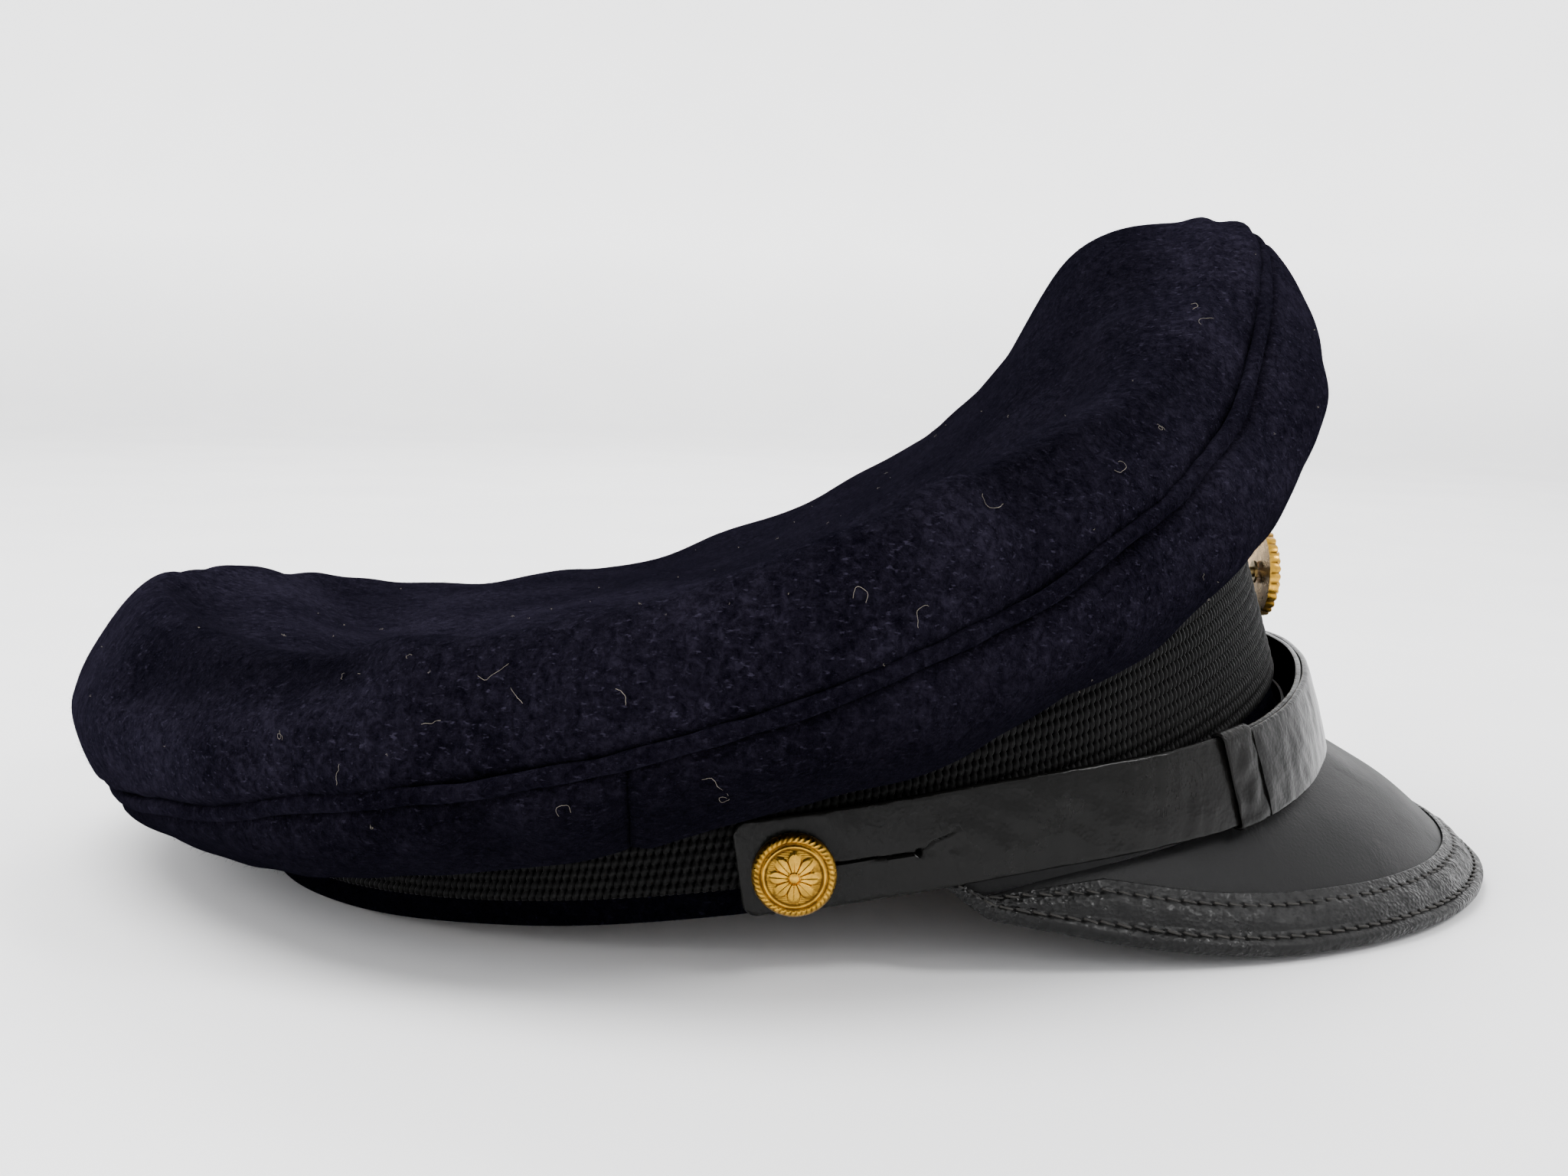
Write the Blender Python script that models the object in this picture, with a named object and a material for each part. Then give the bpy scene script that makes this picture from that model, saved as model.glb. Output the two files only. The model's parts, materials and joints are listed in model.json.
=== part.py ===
"""Military peaked cap, built as its separate pieces.

Metres, +Z up from the table, visor towards -Y, the wearer's right towards -X.
The cap lies on the rear of its band and on the edge of its visor.
Angles round the cap run from 0 at the front, through 90 at the wearer's right, to 180 at the rear.
"""

import functools
import math

import bmesh
import bpy
from mathutils import Matrix, Vector

MM = 0.001

# Band: a leaning, slightly conical oval whose lower edge rises from the table towards the front.
BAND_CENTRE_Y = 3.6 * MM
BAND_SIDE = 89.5 * MM
BAND_END = 107 * MM
BAND_POWER = 2.12
BAND_RISE = 30.8 * MM
BAND_RISE_POWER = 1.5
BAND_FLAT_SHARE = 0.02
BAND_LEAN = math.radians(9)
BAND_TAPER_SIDE = 0.06
BAND_TAPER_FRONT = 0.15
BAND_HEIGHT = 38.5 * MM
BAND_HEIGHT_FRONT_GAIN = 7.3 * MM
BAND_HEIGHT_SIDE_LOSS = 7.5 * MM

# Layers of the band, as distances outwards from the face of the braid.
BRAID = (-1.0 * MM, 0.0)
BAND_CLOTH = (-2.2 * MM, -1.4 * MM)
STIFFENER = (-3.6 * MM, -2.6 * MM)
BRAID_LOW = 4.6 * MM
BRAID_LOW_FRONT_GAIN = 8.3 * MM
REED_OUT = -4.9 * MM
REED_UP = 1.0 * MM
REED_RADIUS = 0.8 * MM
SWEATBAND_OUT = -7.0 * MM
SWEATBAND_THICKNESS = 1.2 * MM
SWEATBAND_LEAN = 0.10
SWEATBAND_LOW = 2.4 * MM

# Crown: rings of its outer surface, from the fold under the overhang to the dish on top.
# Each has its half width, its half lengths to the front and the rear, and its height every 30 degrees.
CROWN_CENTRE_Y = 19.6 * MM
CROWN_CENTRE_Z = 55 * MM
CROWN_RINGS = (
    # side, front, rear, heights from the front through the right, the rear and the left
    (101, 112, 99, (77, 64, 44, 25.5, 15, 9.5, 8.5, 7, 7.5, 16, 39, 64)),
    (113.5, 125, 112, (109, 81, 54, 34, 20, 12.5, 11, 9, 11, 23, 48, 82)),
    (117.5, 112, 120, (130.5, 95, 65.5, 44, 29.5, 18.5, 14.5, 14, 20, 34, 61, 98)),
    (115.5, 104, 127.5, (133, 103, 78.5, 58, 44, 35, 32.5, 29, 30, 44.5, 70, 108)),
    (108, 98, 112, (133.5, 106.5, 88, 67, 54.5, 55.5, 54, 47, 40.5, 53, 79.5, 114)),
    (92, 77, 94, (125, 95.5, 77.5, 60.5, 47.5, 49, 48.5, 44, 43, 53, 73, 100)),
    (55, 45, 60, (82, 75, 64, 54, 46, 44.5, 44, 44, 46, 53, 63, 75)),
)
WELT_RING = 3
PROFILE_STEPS = 10
FELT = 2.0 * MM
SEAM_UP = 2.2 * MM
SEAM_GAP = 0.5 * MM
WELT_HALF_WIDTH = 1.7 * MM
WELT_PROUD = 0.7 * MM
PADDING = (4.3 * MM, 6.4 * MM)
HOOP_DEPTH = 9.4 * MM
HOOP_RADIUS = 1.2 * MM
FERRULE_RADIUS = (1.6 * MM, 2.3 * MM)
SIDE_SEAM = 93
LINING_THICKNESS = 0.7 * MM
TOP_LINING_DEPTH = 3.2 * MM
TOP_LINING_START = 0.42

# Visor: its outline in plan, its edge height, and its layers as depths below the upper face.
VISOR_CENTRE_Y = -21.8 * MM
VISOR_SIDE = 90 * MM
VISOR_REACH = 34 * MM
VISOR_OUTLINE_POWER = 2.4
VISOR_ROOT_ANGLE = 79
VISOR_FLAT_ANGLE = 48
VISOR_EDGE_HEIGHT = 4.02 * MM
VISOR_CORNER_RISE = 12.8 * MM
VISOR_CORNER_POWER = 1.6
VISOR_CROWNING = 1.2 * MM
VISOR_COVER = (0.0, 0.5 * MM)
VISOR_CORE = (1.1 * MM, 2.1 * MM)
VISOR_LINING = (2.7 * MM, 3.1 * MM)
BINDING_THICKNESS = 0.7 * MM
BINDING_WIDTH = 10 * MM

# Chin strap: two overlapping halves, each with a keeper loop round the other.
STRAP_WIDTH = 16.2 * MM
STRAP_THICKNESS = 1.2 * MM
STRAP_OUT = 0.9 * MM
STRAP_FRONT_OUT = 3.0 * MM
STRAP_UP = 0.3 * MM
STRAP_FRONT_DROP = 1.2 * MM
CORNER_SAG = 3 * MM
CORNER_OUT = 1.5 * MM
CORNER_SPAN = 76
STRAP_LAYER_GAP = 0.4 * MM
STRAP_END_ANGLE = 92
STRAP_OVERLAP_ANGLE = 38.7
KEEPER_ANGLE = 41.4
KEEPER_WIDTH = 9 * MM
KEEPER_WALL = 0.9 * MM

# Side buttons, whose axis is also the chin strap's.
BUTTON_Y = 0.0 * MM
BUTTON_Z = 18.2 * MM
BUTTON_RADIUS = 7.1 * MM
BUTTON_DOME = 3.6 * MM
BUTTON_SHELL = 0.5 * MM
SHANK_RADIUS = 1.1 * MM
SHANK_HOLE_RADIUS = 2.3 * MM
SPLIT_RING_RADIUS = 2.2 * MM
SPLIT_RING_WIRE = 0.4 * MM

# Cap badge: a fluted oval that stands upright off the leaning band.
BADGE_Z = 60 * MM
BADGE_BACK_Y = -97.8 * MM
BADGE_HALF_HEIGHT = 9.2 * MM
BADGE_HALF_WIDTH = 11 * MM
BADGE_EDGE = 1.6 * MM
BADGE_FLUTES = 26
BADGE_FLUTE_DEPTH = 0.45 * MM
BADGE_POST_RADIUS = 1.1 * MM
BADGE_HOLE_RADIUS = 1.6 * MM

ROUND_STEPS = 40


# ---------------------------------------------------------------- materials and objects

def make_material(name, colour, roughness, metallic=0.0):
    material = bpy.data.materials.new(name)
    material.use_nodes = True
    shader = material.node_tree.nodes["Principled BSDF"]
    shader.inputs["Base Color"].default_value = (*colour, 1.0)
    shader.inputs["Roughness"].default_value = roughness
    shader.inputs["Metallic"].default_value = metallic
    return material


def add_object(name, bm, material, smooth_angle=40):
    """Turns a closed bmesh into a named object with its faces pointing out."""
    bmesh.ops.remove_doubles(bm, verts=bm.verts, dist=1e-7)
    bmesh.ops.recalc_face_normals(bm, faces=bm.faces)
    if bm.calc_volume(signed=True) < 0:
        bmesh.ops.reverse_faces(bm, faces=bm.faces)
    mesh = bpy.data.meshes.new(name)
    bm.to_mesh(mesh)
    bm.free()
    mesh.materials.append(material)
    mesh.shade_smooth()
    mesh.set_sharp_from_angle(angle=math.radians(smooth_angle))
    thing = bpy.data.objects.new(name, mesh)
    bpy.context.collection.objects.link(thing)
    return thing


def add_slab(name, material, outer, inner, wrap=False, poles=None):
    """A shell between two sheets of points, each a list of rows.

    With wrap, the rows close into a ring. poles, an outer and an inner point, close the far edge of the rows.
    """
    bm = bmesh.new()
    sheets = [[[bm.verts.new(p) for p in row] for row in sheet] for sheet in (outer, inner)]
    count = len(outer)
    last = len(outer[0]) - 1
    for i in range(count if wrap else count - 1):
        k = (i + 1) % count
        for sheet in sheets:
            for j in range(last):
                bm.faces.new((sheet[i][j], sheet[k][j], sheet[k][j + 1], sheet[i][j + 1]))
        for j in (0,) if poles else (0, last):
            bm.faces.new((sheets[0][i][j], sheets[0][k][j], sheets[1][k][j], sheets[1][i][j]))
    if poles:
        for sheet, pole in zip(sheets, poles):
            tip = bm.verts.new(pole)
            for i in range(count):
                bm.faces.new((sheet[i][last], sheet[(i + 1) % count][last], tip))
    if not wrap:
        for i in (0, count - 1):
            for j in range(last):
                bm.faces.new((sheets[0][i][j], sheets[0][i][j + 1], sheets[1][i][j + 1], sheets[1][i][j]))
    return add_object(name, bm, material)


def add_turned(name, material, profile, centre, axis, steps=24):
    """A solid of revolution. The profile is a closed loop of (radius, distance along the axis)."""
    bm = bmesh.new()
    turn = Vector((0, 0, 1)).rotation_difference(Vector(axis)).to_matrix()
    rings = []
    for radius, along in profile:
        if radius == 0:
            rings.append([bm.verts.new(Vector(centre) + turn @ Vector((0, 0, along)))] * steps)
            continue
        ring = []
        for i in range(steps):
            angle = math.tau * i / steps
            spot = Vector((radius * math.cos(angle), radius * math.sin(angle), along))
            ring.append(bm.verts.new(Vector(centre) + turn @ spot))
        rings.append(ring)
    for ring, following in zip(rings, rings[1:] + rings[:1]):
        for i in range(steps):
            k = (i + 1) % steps
            corners = dict.fromkeys((ring[i], ring[k], following[k], following[i]))
            if len(corners) > 2:
                bm.faces.new(tuple(corners))
    return add_object(name, bm, material)


def add_wire(name, material, points, radius, closed, sides=1):
    curve = bpy.data.curves.new(name, "CURVE")
    curve.dimensions = "3D"
    curve.bevel_depth = radius
    curve.bevel_resolution = sides
    curve.use_fill_caps = True
    spline = curve.splines.new("POLY")
    spline.points.add(len(points) - 1)
    for point, place in zip(spline.points, points):
        point.co = (*place, 1.0)
    spline.use_cyclic_u = closed
    curve.materials.append(material)
    thing = bpy.data.objects.new(name, curve)
    bpy.context.collection.objects.link(thing)
    return thing


def cut_hole(thing, centre, axis, radius, length):
    """Cuts a round hole through a piece with a hidden rod."""
    profile = ((0, -length / 2), (radius, -length / 2), (radius, length / 2), (0, length / 2))
    cutter = add_turned(f"{thing.name}_cutter", thing.data.materials[0], profile, centre, axis, 20)
    cutter.hide_render = True
    cutter.display_type = "WIRE"
    boolean = thing.modifiers.new(f"hole_{len(thing.modifiers)}", "BOOLEAN")
    boolean.operation = "DIFFERENCE"
    boolean.object = cutter


def hang_on(pivot_name, place, things):
    """Parents moving pieces to an empty on their joint's axis."""
    pivot = bpy.data.objects.new(pivot_name, None)
    pivot.location = place
    bpy.context.collection.objects.link(pivot)
    for thing in things:
        thing.parent = pivot
        thing.matrix_parent_inverse = Matrix.Translation(place).inverted()


# ---------------------------------------------------------------- shape of the band

def spread(start, end, count):
    return [start + (end - start) * i / (count - 1) for i in range(count)]


def round_angles(steps):
    return [360 * i / steps for i in range(steps)]


def signed_power(value, power):
    return math.copysign(abs(value) ** power, value)


def oval(angle, side, front, rear, power=2.0):
    turn = math.radians(angle)
    cosine = math.cos(turn)
    x = -side * signed_power(math.sin(turn), 2 / power)
    y = -(front if cosine > 0 else rear) * signed_power(cosine, 2 / power)
    return x, y


def front_share(angle):
    """1 at the front, falling to 0 at the sides, and 0 behind them."""
    return max(0.0, math.cos(math.radians(angle))) ** 2


def corner_share(angle):
    """1 half way to the front corners of the oval, falling to 0 at the front and past them."""
    near = min(abs((angle + 180) % 360 - 180), CORNER_SPAN)
    return math.sin(math.pi * near / CORNER_SPAN) ** 2


def band_base(y):
    """Height of the band's lower edge above the table."""
    share = (BAND_CENTRE_Y + BAND_END - y) / (2 * BAND_END)
    share = max(0.0, share - BAND_FLAT_SHARE) / (1 - BAND_FLAT_SHARE)
    return BAND_RISE * share ** BAND_RISE_POWER


def band_height(angle):
    turn = math.radians(angle)
    return BAND_HEIGHT + BAND_HEIGHT_FRONT_GAIN * math.cos(turn) - BAND_HEIGHT_SIDE_LOSS * math.sin(turn) ** 2


def band_point(angle, out, up):
    """A point at a distance out from the braid's face and up from the lower edge."""
    _, base_y = oval(angle, BAND_SIDE, BAND_END, BAND_END, BAND_POWER)
    x, y = oval(
        angle,
        BAND_SIDE + out - BAND_TAPER_SIDE * up,
        BAND_END + out - BAND_TAPER_FRONT * up,
        BAND_END + out - BAND_TAPER_SIDE * up,
        BAND_POWER,
    )
    rise = band_base(BAND_CENTRE_Y + base_y)
    return Vector((x, BAND_CENTRE_Y + y + up * math.sin(BAND_LEAN), rise + up * math.cos(BAND_LEAN)))


def band_ring(name, material, layer, low, high, steps=ROUND_STEPS):
    """A ring of the band between two distances out, with its lower and upper edges given by angle."""
    def rows(out):
        return [[band_point(a, out, low(a)), band_point(a, out, high(a))] for a in round_angles(steps)]
    return add_slab(name, material, rows(layer[1]), rows(layer[0]), wrap=True)


# ---------------------------------------------------------------- shape of the crown

def between(before, start, end, after, share):
    """Catmull-Rom interpolation, of numbers or of vectors."""
    squared = share * share
    cubed = squared * share
    return 0.5 * (
        2 * start
        + (end - before) * share
        + (2 * before - 5 * start + 4 * end - after) * squared
        + (3 * start - before - 3 * end + after) * cubed
    )


def station_height(heights, angle):
    count = len(heights)
    place = (angle % 360) / 360 * count
    i = int(place)
    near = [heights[(i + k) % count] for k in (-1, 0, 1, 2)]
    return between(*near, place - i) * MM


def crown_ring(index, angle):
    side, front, rear, heights = CROWN_RINGS[index]
    x, y = oval(angle, side * MM, front * MM, rear * MM)
    return Vector((x, CROWN_CENTRE_Y + y, station_height(heights, angle)))


def crown_seam(angle):
    """Where the quarters are sewn over the top of the band."""
    return band_point(angle, -FELT / 2, band_height(angle) + SEAM_UP)


@functools.lru_cache(maxsize=None)
def crown_profile(angle):
    """Points of the outer surface from seam to centre, the length along them, and the welt's place."""
    seam = crown_seam(angle)
    rings = [seam] + [crown_ring(i, angle) for i in range(len(CROWN_RINGS))]
    outwards = Vector((seam.x, seam.y - BAND_CENTRE_Y, 0)).normalized()
    centre = Vector((0, CROWN_CENTRE_Y, CROWN_CENTRE_Z))
    beyond = crown_ring(len(CROWN_RINGS) - 1, angle + 180)
    knots = [rings[1] - outwards * (24 * MM)] + rings + [centre, beyond]
    points = []
    for i in range(1, len(knots) - 2):
        for step in range(PROFILE_STEPS):
            points.append(between(*knots[i - 1:i + 3], step / PROFILE_STEPS))
    points.append(centre)
    lengths = [0.0]
    for start, end in zip(points, points[1:]):
        lengths.append(lengths[-1] + (end - start).length)
    return points, lengths, WELT_RING * PROFILE_STEPS


def crown_point(angle, share):
    """share runs from -1 at the band's seam, through 0 on the welt, to 1 at the centre of the top."""
    points, lengths, welt = crown_profile(round(angle % 360, 4))
    half = lengths[welt] if share < 0 else lengths[-1] - lengths[welt]
    along = min(max(lengths[welt] + share * half, 0.0), lengths[-1])
    i = 0
    while i < len(lengths) - 2 and lengths[i + 1] < along:
        i += 1
    return points[i].lerp(points[i + 1], (along - lengths[i]) / (lengths[i + 1] - lengths[i]))


def crown_share(angle, distance):
    """The share that lies a distance from the welt, negative towards the band."""
    _, lengths, welt = crown_profile(round(angle % 360, 4))
    return distance / (lengths[welt] if distance < 0 else lengths[-1] - lengths[welt])


def crown_depth(angle, share, depth):
    """A point below the crown's outer surface, on its inward normal."""
    turn = 2.0
    step = 0.03
    low = max(share - step, -1.0)
    high = min(share + step, 0.995)
    across = crown_point(angle + turn, min(share, 0.97)) - crown_point(angle - turn, min(share, 0.97))
    normal = (crown_point(angle, high) - crown_point(angle, low)).cross(across).normalized()
    return crown_point(angle, share) - normal * depth


def crown_patch(name, material, angles, shares, depths, wrap=False, closed_top=False):
    """A layer of the crown between two depths. shares gives the rows' places at an angle."""
    sheets = [[[crown_depth(a, s, depth) for s in shares(a)] for a in angles] for depth in depths]
    top = Vector((0, CROWN_CENTRE_Y, CROWN_CENTRE_Z))
    poles = [top - Vector((0, 0, depth)) for depth in depths] if closed_top else None
    return add_slab(name, material, *sheets, wrap=wrap, poles=poles)


def build_crown(felt, padding, steel, card, satin, film):
    edge = WELT_HALF_WIDTH + SEAM_GAP

    def top_rows(angle):
        start = crown_share(angle, edge)
        return [start + (0.88 - start) * share ** 1.5 for share in spread(0, 1, 11)]

    def quarter_rows(angle):
        return spread(-1.0, crown_share(angle, -edge), 9)

    crown_patch("crown_top_panel", felt, round_angles(ROUND_STEPS), top_rows, (0, FELT), True, True)

    seam_angle = math.degrees(SEAM_GAP / 2 / BAND_SIDE)
    quarters = {
        "crown_quarter_front_right": (0, SIDE_SEAM),
        "crown_quarter_rear_right": (SIDE_SEAM, 180),
        "crown_quarter_rear_left": (180, 360 - SIDE_SEAM),
        "crown_quarter_front_left": (360 - SIDE_SEAM, 360),
    }
    for name, (start, end) in quarters.items():
        angles = spread(start + seam_angle, end - seam_angle, round((end - start) / 9) + 1)
        crown_patch(name, felt, angles, quarter_rows, (0, FELT))

    def welt_rows(angle):
        return [crown_share(angle, d) for d in (-WELT_HALF_WIDTH, 0, WELT_HALF_WIDTH)]

    crown_patch("crown_welt", felt, round_angles(ROUND_STEPS), welt_rows, (-WELT_PROUD, FELT), True)

    def padding_rows(angle):
        return spread(-0.34, 0.20, 7)

    crown_patch("rim_padding", padding, round_angles(ROUND_STEPS), padding_rows, PADDING, True)

    def pad_rows(angle):
        return spread(-0.62, -0.38, 4)

    crown_patch("front_pad", padding, spread(-26, 26, 8), pad_rows, PADDING)

    hoop = [crown_depth(a, 0, HOOP_DEPTH) for a in spread(182, 538, 49)]
    add_wire("hoop_wire", steel, hoop, HOOP_RADIUS, False)
    add_ferrule(steel)
    add_front_stay(steel)
    add_linings(satin, card, film)


def add_ferrule(steel):
    """The tube that joins the two ends of the hoop wire at the rear."""
    sides = 12
    sheets = []
    for radius in reversed(FERRULE_RADIUS):
        rows = []
        for i in range(sides):
            turn = math.tau * i / sides
            row = []
            for angle in spread(176.5, 183.5, 4):
                centre = crown_depth(angle, 0, HOOP_DEPTH)
                ahead = crown_depth(angle + 1, 0, HOOP_DEPTH) - crown_depth(angle - 1, 0, HOOP_DEPTH)
                across = ahead.normalized().cross(Vector((0, 0, 1))).normalized()
                upward = across.cross(ahead.normalized())
                row.append(centre + radius * (math.cos(turn) * across + math.sin(turn) * upward))
            rows.append(row)
        sheets.append(rows)
    add_slab("hoop_ferrule", steel, *sheets, wrap=True)


def add_front_stay(steel):
    """A flat spring from inside the band's front up to the peak."""
    depth = HOOP_DEPTH
    route = [crown_seam(0) + Vector((0, -1.0 * MM, 5 * MM))]
    route += [crown_depth(0, share, depth) for share in spread(-0.50, -0.10, 5)]
    half = Vector((9 * MM, 0, 0))
    thickness = 0.8 * MM
    outer, inner = [], []
    for i, place in enumerate(route):
        ahead = route[min(i + 1, len(route) - 1)] - route[max(i - 1, 0)]
        inwards = ahead.cross(Vector((-1, 0, 0))).normalized()
        outer.append([place - half, place + half])
        inner.append([place - half - inwards * thickness, place + half - inwards * thickness])
    add_slab("front_stay", steel, outer, inner)


def add_linings(satin, card, film):
    depths = (TOP_LINING_DEPTH, TOP_LINING_DEPTH + LINING_THICKNESS)
    steps = 30

    def lining_rows(angle):
        return spread(TOP_LINING_START, 0.90, 5)

    crown_patch("lining_top", satin, round_angles(steps), lining_rows, depths, True, True)

    def shield_rows(angle):
        return spread(0.72, 0.92, 3)

    film_depths = (depths[1] + 0.8 * MM, depths[1] + 1.2 * MM)
    crown_patch("sweat_shield", film, round_angles(18), shield_rows, film_depths, True, True)

    sheets = []
    for extra in (0, LINING_THICKNESS):
        rows = []
        for angle in round_angles(steps):
            low = band_point(angle, STIFFENER[0] - 0.8 * MM - extra, band_height(angle) - 2 * MM)
            high = crown_depth(angle, TOP_LINING_START, depths[1] + 0.5 * MM + extra)
            middle = low.lerp(high, 0.45) + Vector((0, 0, 1.5 * MM))
            rows.append([low, middle, high])
        sheets.append(rows)
    add_slab("lining_side", satin, *sheets, wrap=True)


# ---------------------------------------------------------------- band, sweatband

def build_band(card, felt, braid, leather, satin):
    def foot(angle):
        return 0.0

    def braid_foot(angle):
        return BRAID_LOW + BRAID_LOW_FRONT_GAIN * front_share(angle)

    def braid_top(angle):
        return band_height(angle) - 2.8 * MM

    layers = [
        band_ring("band_stiffener", card, STIFFENER, foot, band_height),
        band_ring("band_cloth", felt, BAND_CLOTH, foot, band_height),
        band_ring("braid_band", braid, BRAID, braid_foot, braid_top),
    ]
    for layer in layers:
        for side in (-1, 1):
            cut_hole(layer, (side * BAND_SIDE, BUTTON_Y, BUTTON_Z), (1, 0, 0), SHANK_HOLE_RADIUS, 0.03)
        cut_hole(layer, (0, BADGE_BACK_Y, BADGE_Z), (0, 1, 0), BADGE_HOLE_RADIUS, 0.03)

    def sweat_point(angle, out, up):
        return band_point(angle, SWEATBAND_OUT + out - SWEATBAND_LEAN * up, up)

    sheets = []
    for out in (0, -SWEATBAND_THICKNESS):
        rows = []
        for angle in round_angles(ROUND_STEPS):
            heights = spread(SWEATBAND_LOW, band_height(angle) - 6 * MM, 3)
            rows.append([sweat_point(angle, out, up) for up in heights])
        sheets.append(rows)
    add_slab("sweatband", leather, *sheets, wrap=True)

    reed = [band_point(a, REED_OUT, REED_UP) for a in round_angles(ROUND_STEPS)]
    add_wire("sweatband_reed", leather, reed, REED_RADIUS, True)
    add_bow(satin)


def add_bow(satin):
    """The small ribbon bow at the back of the sweatband."""
    up = 17 * MM
    out = SWEATBAND_OUT - SWEATBAND_THICKNESS - 0.9 * MM - SWEATBAND_LEAN * up
    centre = band_point(180, out, up)
    outline = ((0, 1.2), (3, 2.2), (7, 3.6), (7.6, 0), (7, -3.6), (3, -2.2), (0, -1.2))
    outline = outline + tuple((-x, z) for x, z in reversed(outline[1:-1]))
    bm = bmesh.new()
    front = [bm.verts.new(centre + Vector((x * MM, -0.9 * MM, z * MM))) for x, z in outline]
    back = [bm.verts.new(centre + Vector((x * MM, -0.1 * MM, z * MM))) for x, z in outline]
    bm.faces.new(front)
    bm.faces.new(back)
    for i in range(len(outline)):
        k = (i + 1) % len(outline)
        bm.faces.new((front[i], front[k], back[k], back[i]))
    add_object("sweatband_bow", bm, satin)


# ---------------------------------------------------------------- visor

def visor_edge(turn):
    """A point of the visor's outer edge, at an angle in degrees about the visor's centre."""
    angle = math.radians(turn)
    reach = VISOR_SIDE + VISOR_REACH * abs(math.cos(angle)) ** VISOR_OUTLINE_POWER
    corner = max(0.0, (abs(turn) - VISOR_FLAT_ANGLE) / (90 - VISOR_FLAT_ANGLE))
    height = VISOR_EDGE_HEIGHT + VISOR_CORNER_RISE * corner ** VISOR_CORNER_POWER
    return Vector((-reach * math.sin(angle), VISOR_CENTRE_Y - reach * math.cos(angle), height))


@functools.lru_cache(maxsize=None)
def visor_point(side, reach):
    """side runs from -1 at the left corner to 1 at the right one, reach from 0 at the band to 1."""
    turn = side * VISOR_ROOT_ANGLE
    sag = CORNER_SAG * corner_share(turn)
    root = band_point(turn, 0.9 * MM, -1.4 * MM - sag)
    edge = visor_edge(side * 90)
    bulge = VISOR_CROWNING * 4 * reach * (1 - reach) * (1 - side * side)
    return root.lerp(edge, reach) + Vector((0, -0.6, 0.8)) * bulge


def visor_depth(side, reach, depth):
    """A point below the visor's upper face; reach may pass 1, beyond the edge."""
    step = 0.02
    inside = min(reach, 1.0)
    across = visor_point(side + step, inside) - visor_point(side - step, inside)
    along = visor_point(side, inside) - visor_point(side, inside - step)
    normal = across.cross(along).normalized()
    beyond = along.normalized() * (reach - inside) * visor_length(side)
    return visor_point(side, inside) + beyond - normal * depth


def visor_length(side):
    return (visor_point(side, 1.0) - visor_point(side, 0.0)).length


def build_visor(patent, card, leather):
    stations = spread(-0.965, 0.965, 31)
    reaches = (0.0, 0.35, 0.7, 1.0)

    def layer(name, material, depths):
        sheets = [[[visor_depth(s, r, depth) for r in reaches] for s in stations] for depth in depths]
        add_slab(name, material, *sheets)

    layer("visor_cover", patent, VISOR_COVER)
    layer("visor_core", card, VISOR_CORE)
    layer("visor_lining", leather, VISOR_LINING)

    gap = 0.7 * MM
    wall = BINDING_THICKNESS
    deepest = VISOR_LINING[1] + gap
    sheets = []
    for grow in (wall, 0.0):
        section = (
            (-1.0, -gap - grow),
            (-0.5, -gap - grow),
            (0.0, -gap - grow),
            (gap + grow, 0.3 * MM - 0.7 * grow),
            (gap + grow, deepest - 0.3 * MM + 0.7 * grow),
            (0.0, deepest + grow),
            (-0.5, deepest + grow),
            (-0.85, deepest + grow),
        )
        rows = []
        for side in stations[1:-1]:
            length = visor_length(side)
            flange = min(BINDING_WIDTH, 0.8 * length)
            row = []
            for along, depth in section:
                distance = along if along > 0 else -along * -flange
                row.append(visor_depth(side, 1 + distance / length, depth))
            rows.append(row)
        sheets.append(rows)
    add_slab("visor_binding", patent, *sheets)


# ---------------------------------------------------------------- chin strap

def strap_point(angle, out, up):
    share = front_share(angle)
    corner = corner_share(angle)
    clear = STRAP_OUT + STRAP_FRONT_OUT * share + CORNER_OUT * corner
    foot = STRAP_UP - STRAP_FRONT_DROP * share - CORNER_SAG * corner
    return band_point(angle, clear + out, foot + up)


def single_share(angle, start, end):
    """0 where the halves overlap, rising smoothly to 1 past the other half's end."""
    share = min(max((angle - start) / (end - start), 0.0), 1.0)
    return share * share * (3 - 2 * share)


def strap_half(name, material, angles, lift):
    sheets = []
    for out in (STRAP_THICKNESS, 0):
        sheets.append([
            [strap_point(a, lift(a) + out, up) for up in (0, STRAP_WIDTH / 2, STRAP_WIDTH)]
            for a in angles
        ])
    return add_slab(name, material, *sheets)


def build_strap(patent):
    second = STRAP_THICKNESS + STRAP_LAYER_GAP
    overlap = STRAP_OVERLAP_ANGLE

    def inner_lift(angle):
        return 0.0

    def outer_lift(angle):
        return second * (1 - single_share(-angle, overlap + 10, overlap + 32))

    right = strap_half("chin_strap_right", patent, spread(-overlap, STRAP_END_ANGLE, 37), inner_lift)
    left = strap_half("chin_strap_left", patent, spread(-STRAP_END_ANGLE, overlap, 37), outer_lift)
    for strap, side in ((right, -1), (left, 1)):
        cut_hole(strap, (side * BAND_SIDE, BUTTON_Y, BUTTON_Z), (1, 0, 0), SHANK_HOLE_RADIUS, 0.03)
    return [right, left, add_keeper("keeper_right", patent, 1), add_keeper("keeper_left", patent, -1)]


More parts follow.
